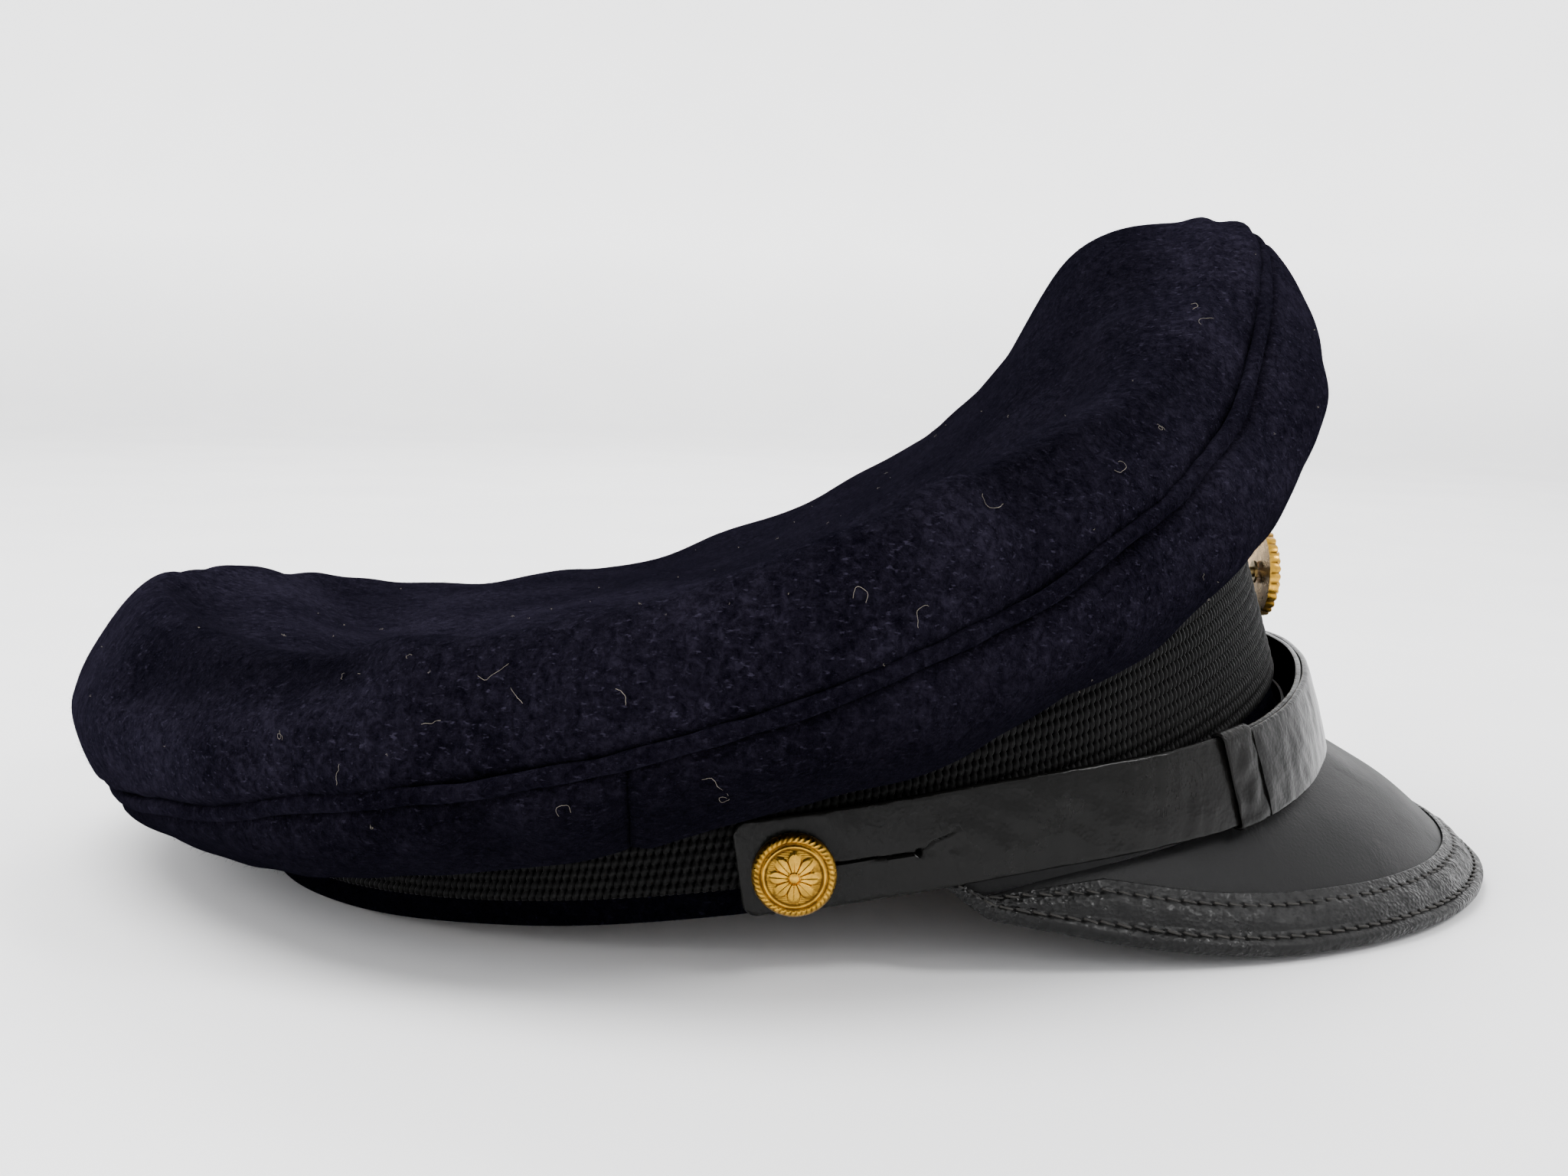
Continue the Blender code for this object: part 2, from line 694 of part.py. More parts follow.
def add_keeper(name, material, side):
    """A closed loop at the end of one half of the strap, round the other half."""
    half_turn = math.degrees(KEEPER_WIDTH / 2 / BAND_END)
    low = 0.0 if side > 0 else STRAP_THICKNESS + STRAP_LAYER_GAP
    high = low + STRAP_THICKNESS
    sheets = []
    for grow in (STRAP_LAYER_GAP + KEEPER_WALL, STRAP_LAYER_GAP):
        corners = (
            (low - grow, -grow), ((low + high) / 2, -grow), (high + grow, -grow),
            (high + grow, STRAP_WIDTH / 2), (high + grow, STRAP_WIDTH + grow),
            ((low + high) / 2, STRAP_WIDTH + grow), (low - grow, STRAP_WIDTH + grow),
            (low - grow, STRAP_WIDTH / 2),
        )
        angles = spread(side * KEEPER_ANGLE - half_turn, side * KEEPER_ANGLE + half_turn, 4)
        sheets.append([[strap_point(a, out, up) for a in angles] for out, up in corners])
    return add_slab(name, material, *sheets, wrap=True)


# ---------------------------------------------------------------- side buttons

def build_button(label, side, gilt, steel):
    """A domed shell on a back plate, with a shank through strap and band and a split ring inside."""
    face = abs(strap_point(90 - math.degrees(0.03), STRAP_THICKNESS, 8 * MM).x) + 0.9 * MM
    centre = Vector((side * face, BUTTON_Y, BUTTON_Z))
    axis = (side, 0, 0)
    rim = BUTTON_RADIUS
    wall = BUTTON_SHELL
    arcs = [math.radians(a) for a in spread(0, 75, 5)]
    dome = [(rim * math.sin(a) / math.sin(arcs[-1]), 1.2 * MM + BUTTON_DOME * math.cos(a)) for a in arcs]
    low = dome[-1][1]
    dome = [(r, 0.8 * MM + (h - low) * 1.1) for r, h in dome]
    hollow = [(max(0.0, r - wall * r / rim), h - wall) for r, h in dome]
    outer = dome + [(rim, 0.0), (rim - wall, 0.0)]
    shell = add_turned(f"{label}_shell", gilt, outer + hollow[::-1], centre, axis)
    plate_radius = rim - wall - 0.6 * MM
    plate = ((0, 0), (plate_radius, 0), (plate_radius, -0.45 * MM), (0, -0.45 * MM))
    plate = [(r, h + 0.5 * MM) for r, h in plate]
    back = add_turned(f"{label}_back", gilt, plate, centre, axis)
    inside = face - (BAND_SIDE + STIFFENER[0] - BAND_TAPER_SIDE * 8 * MM)
    eye = inside + 1.7 * MM
    tip = eye + 1.4 * MM
    pin = ((0, -0.3), (2.0, -0.3), (2.0, -0.55))
    pin = [(r * MM, h * MM) for r, h in pin]
    pin += [(SHANK_RADIUS, -0.55 * MM), (SHANK_RADIUS, -eye + 1.5 * MM), (1.5 * MM, -eye + 0.8 * MM)]
    pin += [(1.5 * MM, -tip), (0, -tip)]
    shank = add_turned(f"{label}_shank", steel, pin, centre, axis, 20)
    eye_spot = centre - Vector((side * eye, 0, 0))
    cut_hole(shank, eye_spot, (0, 1, 0), 0.8 * MM, 0.01)
    ring_centre = eye_spot - Vector((0, 0, SPLIT_RING_RADIUS))
    ring = []
    for angle in spread(-170, 170, 25):
        turn = math.radians(angle)
        ring.append(ring_centre + SPLIT_RING_RADIUS * Vector((0, math.sin(turn), math.cos(turn))))
    split_ring = add_wire(f"{label}_split_ring", steel, ring, SPLIT_RING_WIRE, False)
    hang_on(f"{label}_pivot", centre, [shell, back, shank, split_ring])


# ---------------------------------------------------------------- badge

def build_badge(gilt, brass):
    def fluted(share, turn):
        """Depth in front of the badge's back face."""
        ripple = BADGE_FLUTE_DEPTH * abs(math.sin(turn * BADGE_FLUTES / 2)) * share
        return BADGE_EDGE + 1.7 * MM * (1 - share ** 2) + ripple

    steps = 2 * BADGE_FLUTES
    shares = (1.0, 0.8, 0.55)
    front, back = [], []
    for i in range(steps):
        turn = math.tau * i / steps
        reach = Vector((BADGE_HALF_WIDTH * math.sin(turn), 0, BADGE_HALF_HEIGHT * math.cos(turn)))
        place = Vector((0, BADGE_BACK_Y, BADGE_Z))
        front.append([place + reach * s - Vector((0, fluted(s, turn), 0)) for s in shares])
        back.append([place + reach * s for s in shares])
    centre = Vector((0, BADGE_BACK_Y, BADGE_Z))
    poles = (centre - Vector((0, fluted(0.5, 0), 0)), centre)
    add_slab("badge_plate", gilt, front, back, wrap=True, poles=poles)

    face = fluted(0, 0) + 0.3 * MM
    boss = ((0, 0), (4.2, 0), (4.0, 0.4), (3.0, 0.8), (1.6, 1.0), (0, 1.1))
    boss = [(r * MM, face + h * MM) for r, h in boss]
    add_turned("badge_boss", gilt, boss, centre, (0, -1, 0), 24)

    post_end = (centre.y - band_point(0, STIFFENER[0], (BADGE_Z - BAND_RISE) / math.cos(BAND_LEAN)).y)
    post_end = post_end - 5.2 * MM
    post = ((0, -0.3 * MM), (2.4 * MM, -0.3 * MM), (2.4 * MM, -0.8 * MM), (BADGE_POST_RADIUS, -0.8 * MM),
            (BADGE_POST_RADIUS, post_end), (0, post_end))
    add_turned("badge_post", brass, post, centre, (0, -1, 0), 20)
    washer_near = post_end + 3.4 * MM
    ring = ((1.4, 0.0), (3.6, 0.0), (3.6, 0.5), (1.4, 0.5))
    washer = [(r * MM, washer_near - h * MM) for r, h in ring]
    add_turned("badge_washer", brass, washer, centre, (0, -1, 0), 20)
    nut_near = washer_near - 0.85 * MM
    nut = [(r * MM, nut_near - h * MM) for r, h in ((1.7, 0.0), (3.0, 0.0), (3.0, 2.0), (1.7, 2.0))]
    add_turned("badge_nut", brass, nut, centre, (0, -1, 0), 6)


# ---------------------------------------------------------------- the cap

def main():
    for thing in list(bpy.data.objects):
        bpy.data.objects.remove(thing, do_unlink=True)

    felt = make_material("navy_felt", (0.018, 0.017, 0.045), 0.95)
    braid = make_material("mohair_braid", (0.012, 0.012, 0.013), 0.6)
    patent = make_material("patent_leather", (0.016, 0.016, 0.017), 0.22)
    visor_leather = make_material("visor_leather", (0.04, 0.042, 0.047), 0.4)
    sweat_leather = make_material("sweat_leather", (0.20, 0.10, 0.05), 0.55)
    gilt = make_material("gilt", (0.85, 0.60, 0.16), 0.28, 1.0)
    brass = make_material("brass", (0.70, 0.52, 0.22), 0.38, 1.0)
    steel = make_material("spring_steel", (0.55, 0.56, 0.58), 0.35, 1.0)
    card = make_material("buckram", (0.46, 0.38, 0.27), 0.9)
    padding = make_material("wadding", (0.72, 0.69, 0.62), 1.0)
    satin = make_material("lining_satin", (0.05, 0.045, 0.05), 0.45)
    film = make_material("shield_film", (0.70, 0.66, 0.50), 0.2)

    build_crown(felt, padding, steel, card, satin, film)
    build_band(card, felt, braid, sweat_leather, satin)
    build_visor(visor_leather, card, sweat_leather)
    strap_pieces = build_strap(patent)
    hang_on("chin_strap_pivot", Vector((0, BUTTON_Y, BUTTON_Z)), strap_pieces)
    build_button("button_right", -1, gilt, steel)
    build_button("button_left", 1, gilt, steel)
    build_badge(gilt, brass)


main()
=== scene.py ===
import json
import math

import bpy
import numpy as np
from mathutils import Matrix, Vector


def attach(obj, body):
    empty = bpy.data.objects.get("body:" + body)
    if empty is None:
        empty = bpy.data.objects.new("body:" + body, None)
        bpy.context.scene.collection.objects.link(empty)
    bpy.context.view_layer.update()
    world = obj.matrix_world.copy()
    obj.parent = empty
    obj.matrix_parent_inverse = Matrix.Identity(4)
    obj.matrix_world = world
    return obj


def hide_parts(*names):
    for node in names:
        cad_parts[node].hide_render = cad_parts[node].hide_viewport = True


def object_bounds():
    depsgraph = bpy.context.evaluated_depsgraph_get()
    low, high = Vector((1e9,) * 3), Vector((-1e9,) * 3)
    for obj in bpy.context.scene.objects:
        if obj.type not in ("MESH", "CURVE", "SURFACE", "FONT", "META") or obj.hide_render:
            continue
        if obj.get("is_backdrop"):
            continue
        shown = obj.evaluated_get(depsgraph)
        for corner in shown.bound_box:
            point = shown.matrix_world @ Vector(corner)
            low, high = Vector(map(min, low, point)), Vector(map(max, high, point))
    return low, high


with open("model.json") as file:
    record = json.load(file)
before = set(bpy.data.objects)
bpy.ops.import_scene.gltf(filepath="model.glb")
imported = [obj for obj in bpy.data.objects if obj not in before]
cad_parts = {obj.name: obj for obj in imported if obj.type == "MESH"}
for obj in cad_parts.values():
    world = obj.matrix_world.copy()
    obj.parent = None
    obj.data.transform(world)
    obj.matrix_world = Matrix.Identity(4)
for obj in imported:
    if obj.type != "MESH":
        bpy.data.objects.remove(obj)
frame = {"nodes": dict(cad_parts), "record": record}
CAD_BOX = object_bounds()
MM = 0.001

# Band, in the same terms as the CAD.
BAND_CENTRE_Y = 3.6 * MM
BAND_SIDE = 89.5 * MM
BAND_END = 107 * MM
BAND_POWER = 2.12
BAND_RISE = 30.8 * MM
BAND_RISE_POWER = 1.5
BAND_FLAT_SHARE = 0.02
BAND_LEAN = math.radians(9)
BAND_TAPER_SIDE = 0.06
BAND_TAPER_FRONT = 0.15
BAND_HEIGHT = 38.5 * MM
BAND_HEIGHT_FRONT_GAIN = 7.3 * MM
BAND_HEIGHT_SIDE_LOSS = 7.5 * MM
BRAID_LOW = 4.6 * MM
BRAID_LOW_FRONT_GAIN = 8.3 * MM
BAND_CLOTH_OUT = -1.4 * MM
BAND_CLOTH_IN = -2.2 * MM
BRAID_BEADS = 490
BRAID_BEAD_STEPS = 5
BRAID_RIBS = 14
BRAID_RIB_STEPS = 7
BRAID_BELOW_TOP = 1.0 * MM
SWEATBAND_OUT = -7.0 * MM
SWEATBAND_LEAN = 0.10
SWEATBAND_LOW = 2.4 * MM
SWEATBAND_BELOW_TOP = 6 * MM
SWEATBAND_THICKNESS = 1.2 * MM

# Crown rings in millimetres: half width, half lengths to the front and rear, and heights every 30
# degrees from the front. Lengths elsewhere are in metres.
CROWN_CENTRE_Y = 19.6 * MM
CROWN_CENTRE_Z = 55 * MM
CROWN_RINGS = (
    (101, 112, 99, (77, 64, 44, 25.5, 15, 9.5, 8.5, 7, 7.5, 16, 39, 64)),
    (113.5, 125, 112, (109, 81, 54, 34, 20, 12.5, 11, 9, 11, 23, 48, 82)),
    (117.5, 112, 120, (130.5, 95, 65.5, 44, 29.5, 18.5, 14.5, 14, 20, 34, 61, 98)),
    (115.5, 104, 127.5, (133, 103, 78.5, 58, 44, 35, 32.5, 29, 30, 44.5, 70, 108)),
    (108, 98, 112, (133.5, 106.5, 88, 67, 54.5, 55.5, 54, 47, 40.5, 53, 79.5, 114)),
    (92, 77, 94, (125, 95.5, 77.5, 60.5, 47.5, 49, 48.5, 44, 43, 53, 73, 100)),
    (55, 45, 60, (82, 75, 64, 54, 46, 44.5, 44, 44, 46, 53, 63, 75)),
)
WELT_RING = 3
PROFILE_STEPS = 20
FELT = 2.0 * MM
SEAM_UP = 2.2 * MM
WELT_HALF_WIDTH = 1.53 * MM
WELT_HALF_HEIGHT = 1.25 * MM
WELT_SUNK = 0.75 * MM
SIDE_SEAM = 93
TOP_STEPS = 540
TOP_ROWS = 120
TOP_END = 0.985
TOP_FADE = 0.15
QUARTER_ROWS = 84
WELT_STEPS = 720
WELT_SIDES = 16
SEAM_START = 0.8 * MM

# Soft waves in the cloth: size and height in millimetres.
TOP_WAVES = ((42, 0.6), (17, 0.16))
SIDE_WAVES = ((34, 0.55), (15, 0.14))
PADDING_CLEARANCE = 3.6 * MM
SEAM_DEPTH = 1.5 * MM
SEAM_SPREAD = 1.6 * MM
PUCKER_SIZE = 11 * MM
PUCKER_REACH = 7 * MM
PUCKER_HEIGHT = 0.22 * MM

# Visor.
VISOR_CENTRE_Y = -21.8 * MM
VISOR_SIDE = 90 * MM
VISOR_REACH = 34 * MM
VISOR_OUTLINE_POWER = 2.4
VISOR_ROOT_ANGLE = 79
VISOR_FLAT_ANGLE = 48
VISOR_EDGE_HEIGHT = 4.02 * MM
VISOR_CORNER_RISE = 12.8 * MM
VISOR_CORNER_POWER = 1.6
VISOR_CROWNING = 1.2 * MM
VISOR_CROWNING_WAY = np.array((0, -0.6, 0.8))
VISOR_ROOT_OUT = 0.9 * MM
VISOR_ROOT_UP = -1.4 * MM
VISOR_STRIP_UP = 2.4 * MM
VISOR_STRIP_REACH = 6 * MM
VISOR_END = 0.905
VISOR_END_SPAN = 0.085
VISOR_LIMIT = 0.980
FLANGE_HEIGHT = 7 * MM
BINDING_WIDTH = 10 * MM
BINDING_STEP = 0.36 * MM
BINDING_PAST_END = 0.004
STITCH_END_GAP = 0.012
STITCH_RADIUS = 0.27 * MM
STITCH_SKEW = 0.16 * MM
STITCH_PITCH = 3.1 * MM
STITCH_ROWS = (1.5 * MM, 7.4 * MM)
STITCH_DEPTH = -0.80 * MM
VISOR_STACK = 3.9 * MM
VISOR_THINNING = 2.0 * MM
VISOR_THINNING_REACH = 26 * MM

# Chin strap.
STRAP_WIDTH = 16.2 * MM
STRAP_THICKNESS = 1.2 * MM
STRAP_OUT = 0.9 * MM
STRAP_FRONT_OUT = 3.0 * MM
STRAP_UP = 0.3 * MM
STRAP_FRONT_DROP = 1.2 * MM
STRAP_LAYER_GAP = 0.4 * MM
STRAP_STEPS = 760
STRAP_MIDDLE_UP = 8 * MM
STRAP_TRIM = 0.04 * MM
STRAP_CORNER = 2.6 * MM
STRAP_EDGE = 0.5 * MM
STRAP_DOME = 0.22 * MM
STRAP_END_ANGLE = 92
STRAP_OVERLAP_ANGLE = 38.7
KEEPER_ANGLE = 41.4
KEEPER_WIDTH = 9 * MM
KEEPER_WALL = 0.75 * MM
KEEPER_CORNER = 0.9 * MM
KEEPER_GAP = 0.15 * MM
KEEPER_ROOM = 0.5 * MM
KEEPER_PRESSED = 0.8
CORNER_SAG = 3 * MM
CORNER_OUT = 1.5 * MM
CORNER_SPAN = 76

BUTTON_Y = 0.0
BUTTON_Z = 18.2 * MM
BUTTON_RADIUS = 7.1 * MM
BUTTON_STEPS = 352
BADGE_STEPS = 416
BADGE_FLUTES = 26
BADGE_Z = 60 * MM
BADGE_BACK_Y = -97.8 * MM
BADGE_HALF_HEIGHT = 9.2 * MM
BADGE_HALF_WIDTH = 11 * MM
ROSETTE_RADIUS = 4.1 * MM

UP = np.array((0.0, 0.0, 1.0))


# ------------------------------------------------------------ camera, stage and light

CAMERA_PLACE = Vector((-0.3771, 0.0030, 0.10366))
CAMERA_PITCH = math.radians(7.55)
CAMERA_ROLL = math.radians(1.59)
CAMERA_LENS = 40.76
CAMERA_CLIP_START = 0.01

STAGE_FLAT = 1.6
STAGE_BEND = 0.9
STAGE_TOP = 2.2
STAGE_DROP = 0.0003

# Each light's name, place, target, diameter and watts.
LIGHTS = (
    ("light_top", (-0.15, 0.40, 1.15), (0, 0, 0.03), 0.9, 23),
    ("light_back", (1.1, 0.0, 1.1), (0.9, 0, 0.0), 0.8, 16),
    ("light_visor", (-0.36, -0.72, 0.80), (-0.08, -0.06, 0.02), 0.30, 6),
    ("light_side", (-0.70, 0.95, 0.75), (-0.05, 0, 0.03), 0.6, 4),
)


def add_camera():
    forward = Vector((math.cos(CAMERA_PITCH), 0, -math.sin(CAMERA_PITCH)))
    level = Vector((0, -1, 0))
    upright = Vector((math.sin(CAMERA_PITCH), 0, math.cos(CAMERA_PITCH)))
    right = math.cos(CAMERA_ROLL) * level + math.sin(CAMERA_ROLL) * upright
    up = math.cos(CAMERA_ROLL) * upright - math.sin(CAMERA_ROLL) * level
    data = bpy.data.cameras.new("camera")
    data.lens = CAMERA_LENS
    data.clip_start = CAMERA_CLIP_START
    camera = bpy.data.objects.new("camera", data)
    turn = Matrix((right, up, -forward)).transposed().to_4x4()
    camera.matrix_world = Matrix.Translation(CAMERA_PLACE) @ turn
    bpy.context.scene.collection.objects.link(camera)
    bpy.context.scene.camera = camera


def add_light(name, place, target, size, energy):
    data = bpy.data.lights.new(name, "AREA")
    data.shape = "DISK"
    data.size = size
    data.energy = energy
    light = bpy.data.objects.new(name, data)
    light.location = place
    aim = Vector(target) - Vector(place)
    light.rotation_euler = aim.to_track_quat("-Z", "Y").to_euler()
    bpy.context.scene.collection.objects.link(light)


def add_stage():
    """A round pale floor whose rim curves up into a low wall. The wall glows as painted light,
    more on its far (+X) side and higher up.
    """
    profile = [(0.0, 0.0), (0.5, 0.0), (STAGE_FLAT, 0.0)]
    for step in range(1, 13):
        turn = math.radians(90 * step / 12)
        rise = STAGE_BEND - STAGE_BEND * math.cos(turn)
        profile.append((STAGE_FLAT + STAGE_BEND * math.sin(turn), rise))
    profile.append((STAGE_FLAT + STAGE_BEND, STAGE_TOP))
    steps = 64
    points, faces = [(0, 0, -STAGE_DROP)], []
    for radius, height in profile[1:]:
        for i in range(steps):
            turn = math.tau * i / steps
            points.append((radius * math.cos(turn), radius * math.sin(turn), height - STAGE_DROP))
    for i in range(steps):
        k = (i + 1) % steps
        faces.append((0, 1 + i, 1 + k))
        for ring in range(len(profile) - 2):
            near, far = 1 + ring * steps, 1 + (ring + 1) * steps
            faces.append((near + i, far + i, far + k, near + k))
    mesh = bpy.data.meshes.new("stage_floor")
    mesh.from_pydata(points, [], faces)
    mesh.shade_smooth()
    floor = bpy.data.objects.new("stage_floor", mesh)
    bpy.context.scene.collection.objects.link(floor)
    paint = Paint("stage_paint")
    paint.base((0.86, 0.86, 0.87), 0.75)
    grain = paint.noise(9.0, 2.0)
    # Painted light: the wall glows, from nothing at floor level to full strength 0.25 m up, and
    # more towards +X, with none on the camera side.
    paint.set("Emission Color", (1.0, 1.0, 1.0, 1.0))
    far, high = paint.spread(paint.axis("X"), -0.4, 1.6), paint.spread(paint.axis("Z"), 0.0, 0.25)
    paint.link(paint.sum(paint.sum(far, high, "MULTIPLY"), 1.3, "MULTIPLY"), "Emission Strength")
    paint.colour(grain, 0.3, (0.84, 0.84, 0.85), 0.7, (0.88, 0.88, 0.885))
    mesh.materials.append(paint.material)
    floor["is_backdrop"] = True

    world = bpy.data.worlds.new("studio")
    world.use_nodes = True
    nodes, links = world.node_tree.nodes, world.node_tree.links
    back = nodes["Background"]
    back.inputs["Color"].default_value = (1.0, 1.0, 1.0, 1.0)
    aim = nodes.new("ShaderNodeSeparateXYZ")
    fade = nodes.new("ShaderNodeMapRange")
    for socket, value in (("From Min", -1.0), ("From Max", 1.0), ("To Min", 0.7), ("To Max", 1.9)):
        fade.inputs[socket].default_value = value
    links.new(nodes.new("ShaderNodeTexCoord").outputs["Generated"], aim.inputs["Vector"])
    links.new(aim.outputs["X"], fade.inputs["Value"])
    links.new(fade.outputs["Result"], back.inputs["Strength"])
    bpy.context.scene.world = world
    for light in LIGHTS:
        add_light(*light)


# ------------------------------------------------------------ materials

class Paint:
    """A node material, with short ways to add textures."""

    def __init__(self, name):
        self.material = bpy.data.materials.new(name)
        self.material.use_nodes = True
        self.tree = self.material.node_tree
        self.shader = self.tree.nodes["Principled BSDF"]
        self.place = self.new("ShaderNodeTexCoord").outputs["Object"]
        self.bump = None

    def new(self, kind, **values):
        node = self.tree.nodes.new(kind)
        for key, value in values.items():
            setattr(node, key, value)
        return node

    def join(self, output, target):
        self.tree.links.new(output, target)

    def base(self, colour, roughness, metallic=0.0):
        self.shader.inputs["Base Color"].default_value = (*colour, 1.0)
        self.shader.inputs["Roughness"].default_value = roughness
        self.shader.inputs["Metallic"].default_value = metallic

    def set(self, name, value):
        self.shader.inputs[name].default_value = value

    def link(self, output, name):
        self.join(output, self.shader.inputs[name])

    def scaled(self, scale):
        node = self.new("ShaderNodeMapping")
        node.inputs["Scale"].default_value = scale
        self.join(self.place, node.inputs["Vector"])
        return node.outputs["Vector"]

    def noise(self, scale, detail=3.0, roughness=0.55, stretch=None, distortion=0.0):
        node = self.new("ShaderNodeTexNoise")
        node.inputs["Scale"].default_value = scale
        node.inputs["Detail"].default_value = detail
        node.inputs["Roughness"].default_value = roughness
        node.inputs["Distortion"].default_value = distortion
        self.join(self.scaled(stretch) if stretch else self.place, node.inputs["Vector"])
        return node.outputs["Fac"]

    def cells(self, scale, feature="F1", stretch=None):
        node = self.new("ShaderNodeTexVoronoi", feature=feature)
        node.inputs["Scale"].default_value = scale
        self.join(self.scaled(stretch) if stretch else self.place, node.inputs["Vector"])
        return node.outputs["Distance"]

    def attribute(self, name):
        return self.new("ShaderNodeAttribute", attribute_name=name).outputs["Fac"]

    def axis(self, name):
        node = self.new("ShaderNodeSeparateXYZ")
        self.join(self.place, node.inputs["Vector"])
        return node.outputs[name]

    def ramp(self, output, stops):
        node = self.new("ShaderNodeValToRGB")
        while len(node.color_ramp.elements) < len(stops):
            node.color_ramp.elements.new(0.5)
        for element, (place, colour) in zip(node.color_ramp.elements, stops):
            element.position = place
            element.color = (*colour, 1.0) if len(colour) == 3 else colour
        self.join(output, node.inputs["Fac"])
        return node.outputs["Color"]

    def colour(self, output, low, dark, high, light):
        """Base colour from dark at low to light at high."""
        self.link(self.ramp(output, ((low, dark), (high, light))), "Base Color")

    def rough(self, output, low, high, to_low, to_high):
        self.link(self.spread(output, low, high, to_low, to_high), "Roughness")

    def spread(self, output, low, high, to_low=0.0, to_high=1.0):
        node = self.new("ShaderNodeMapRange")
        values = (low, high, to_low, to_high)
        for socket, value in zip(("From Min", "From Max", "To Min", "To Max"), values):
            node.inputs[socket].default_value = value
        self.join(output, node.inputs["Value"])
        return node.outputs["Result"]

    def sum(self, first, second, operation="ADD"):
        node = self.new("ShaderNodeMath", operation=operation)
        for socket, value in zip(node.inputs, (first, second)):
            if isinstance(value, (int, float)):
                socket.default_value = value
            else:
                self.join(value, socket)
        return node.outputs[0]

    def mix(self, share, first, second):
        node = self.new("ShaderNodeMix", data_type="RGBA")
        self.join(share, node.inputs["Factor"])
        for socket, value in ((node.inputs[6], first), (node.inputs[7], second)):
            if isinstance(value, tuple):
                socket.default_value = (*value, 1.0)
            else:
                self.join(value, socket)
        return node.outputs[2]

    def relief(self, output, strength, distance):
        node = self.new("ShaderNodeBump")
        node.inputs["Strength"].default_value = strength
        node.inputs["Distance"].default_value = distance
        self.join(output, node.inputs["Height"])
        if self.bump:
            self.join(self.bump, node.inputs["Normal"])
        self.bump = node.outputs["Normal"]
        self.link(self.bump, "Normal")


def felt_paint(name, dark, light):
    paint = Paint(name)
    paint.base(dark, 0.95)
    paint.set("Specular IOR Level", 0.0)
    paint.set("Sheen Weight", 0.012)
    paint.set("Sheen Roughness", 0.6)
    paint.set("Sheen Tint", (0.36, 0.36, 0.62, 1.0))
    patches = paint.noise(40.0, 4.0, 0.6)
    clumps = paint.noise(560.0, 3.0, 0.65, None, 0.5)
    nap = paint.noise(1400.0, 3.0, 0.7)
    fibres = paint.noise(1500.0, 2.0, 0.6, (1.0, 0.4, 1.0))
    mottle = paint.sum(patches, 0.30, "MULTIPLY")
    for texture, weight in ((clumps, 0.45), (nap, 0.25)):
        mottle = paint.sum(mottle, paint.sum(texture, weight, "MULTIPLY"))
    middle = tuple(0.65 * a + 0.35 * b for a, b in zip(dark, light))
    colour = paint.ramp(mottle, ((0.40, dark), (0.51, middle), (0.62, light)))
    specks = paint.spread(fibres, 0.62, 0.72)
    flecked = paint.mix(specks, colour, tuple(1.6 * c + 0.001 for c in light))
    shade = paint.spread(paint.attribute("shade"), 0.0, 1.0, 0.0, 0.92)
    paint.link(paint.mix(shade, flecked, tuple(0.12 * c for c in dark)), "Base Color")
    paint.relief(clumps, 0.7, 0.0011)
    paint.relief(nap, 0.6, 0.0006)
    paint.relief(fibres, 0.30, 0.0004)
    return paint.material


def braid_paint():
    paint = Paint("braid_paint")
    paint.base((0.003, 0.003, 0.003), 0.55)
    paint.set("Specular IOR Level", 0.12)
    paint.set("Sheen Weight", 0.03)
    threads = paint.noise(2600.0, 2.0, 0.5, (1.0, 1.0, 0.35))
    wear = paint.noise(38.0, 3.0)
    bead = paint.ramp(wear, ((0.35, (0.0014, 0.0014, 0.0014)), (0.7, (0.0042, 0.0042, 0.0040))))
    # Painted shade: the gaps between the beads are painted near black and lose their reflection.
    hollow = paint.spread(paint.attribute("hollow"), 0.25, 0.8)
    paint.link(paint.mix(hollow, bead, (0.0004, 0.0004, 0.0005)), "Base Color")
    paint.rough(threads, 0.3, 0.7, 0.40, 0.65)
    paint.link(paint.spread(hollow, 0.0, 1.0, 0.09, 0.0), "Specular IOR Level")
    paint.relief(threads, 0.4, 0.0003)
    return paint.material


def patent_paint(name, gloss):
    """Black patent leather: a glossy skin over faint wrinkles, matt on its flesh side."""
    paint = Paint(name)
    paint.base((0.004, 0.004, 0.0036), gloss)
    # The flesh side and the marks cut into the skin are painted darker and matt; in the marks the
    # darker colour is painted shade in the cuts.
    flesh = paint.attribute("flesh")
    matt = paint.sum(paint.attribute("hollow"), flesh, "MAXIMUM")
    dust = paint.noise(24.0, 5.0, 0.65)
    skin = paint.ramp(dust, ((0.35, (0.0020, 0.0020, 0.0018)), (0.7, (0.0052, 0.0050, 0.0046))))
    paint.link(paint.mix(matt, skin, (0.0008, 0.0008, 0.0008)), "Base Color")
    rough = paint.spread(dust, 0.3, 0.75, gloss * 0.75, gloss * 1.4)
    paint.link(paint.sum(rough, flesh, "MAXIMUM"), "Roughness")
    paint.link(paint.spread(matt, 0.0, 1.0, 0.115, 0.0), "Specular IOR Level")
    wrinkled = paint.spread(paint.noise(30.0, 2.0), 0.42, 0.62, 0.25, 1.0)
    wrinkles = paint.noise(330.0, 4.0, 0.6, (1.0, 1.0, 0.45), 1.2)
    paint.relief(paint.sum(wrinkles, wrinkled, "MULTIPLY"), 0.40, 0.0006)
    paint.relief(paint.noise(90.0, 3.0, 0.5), 0.35, 0.0010)
    paint.relief(paint.cells(1250.0), 0.16, 0.0002)
    return paint.material


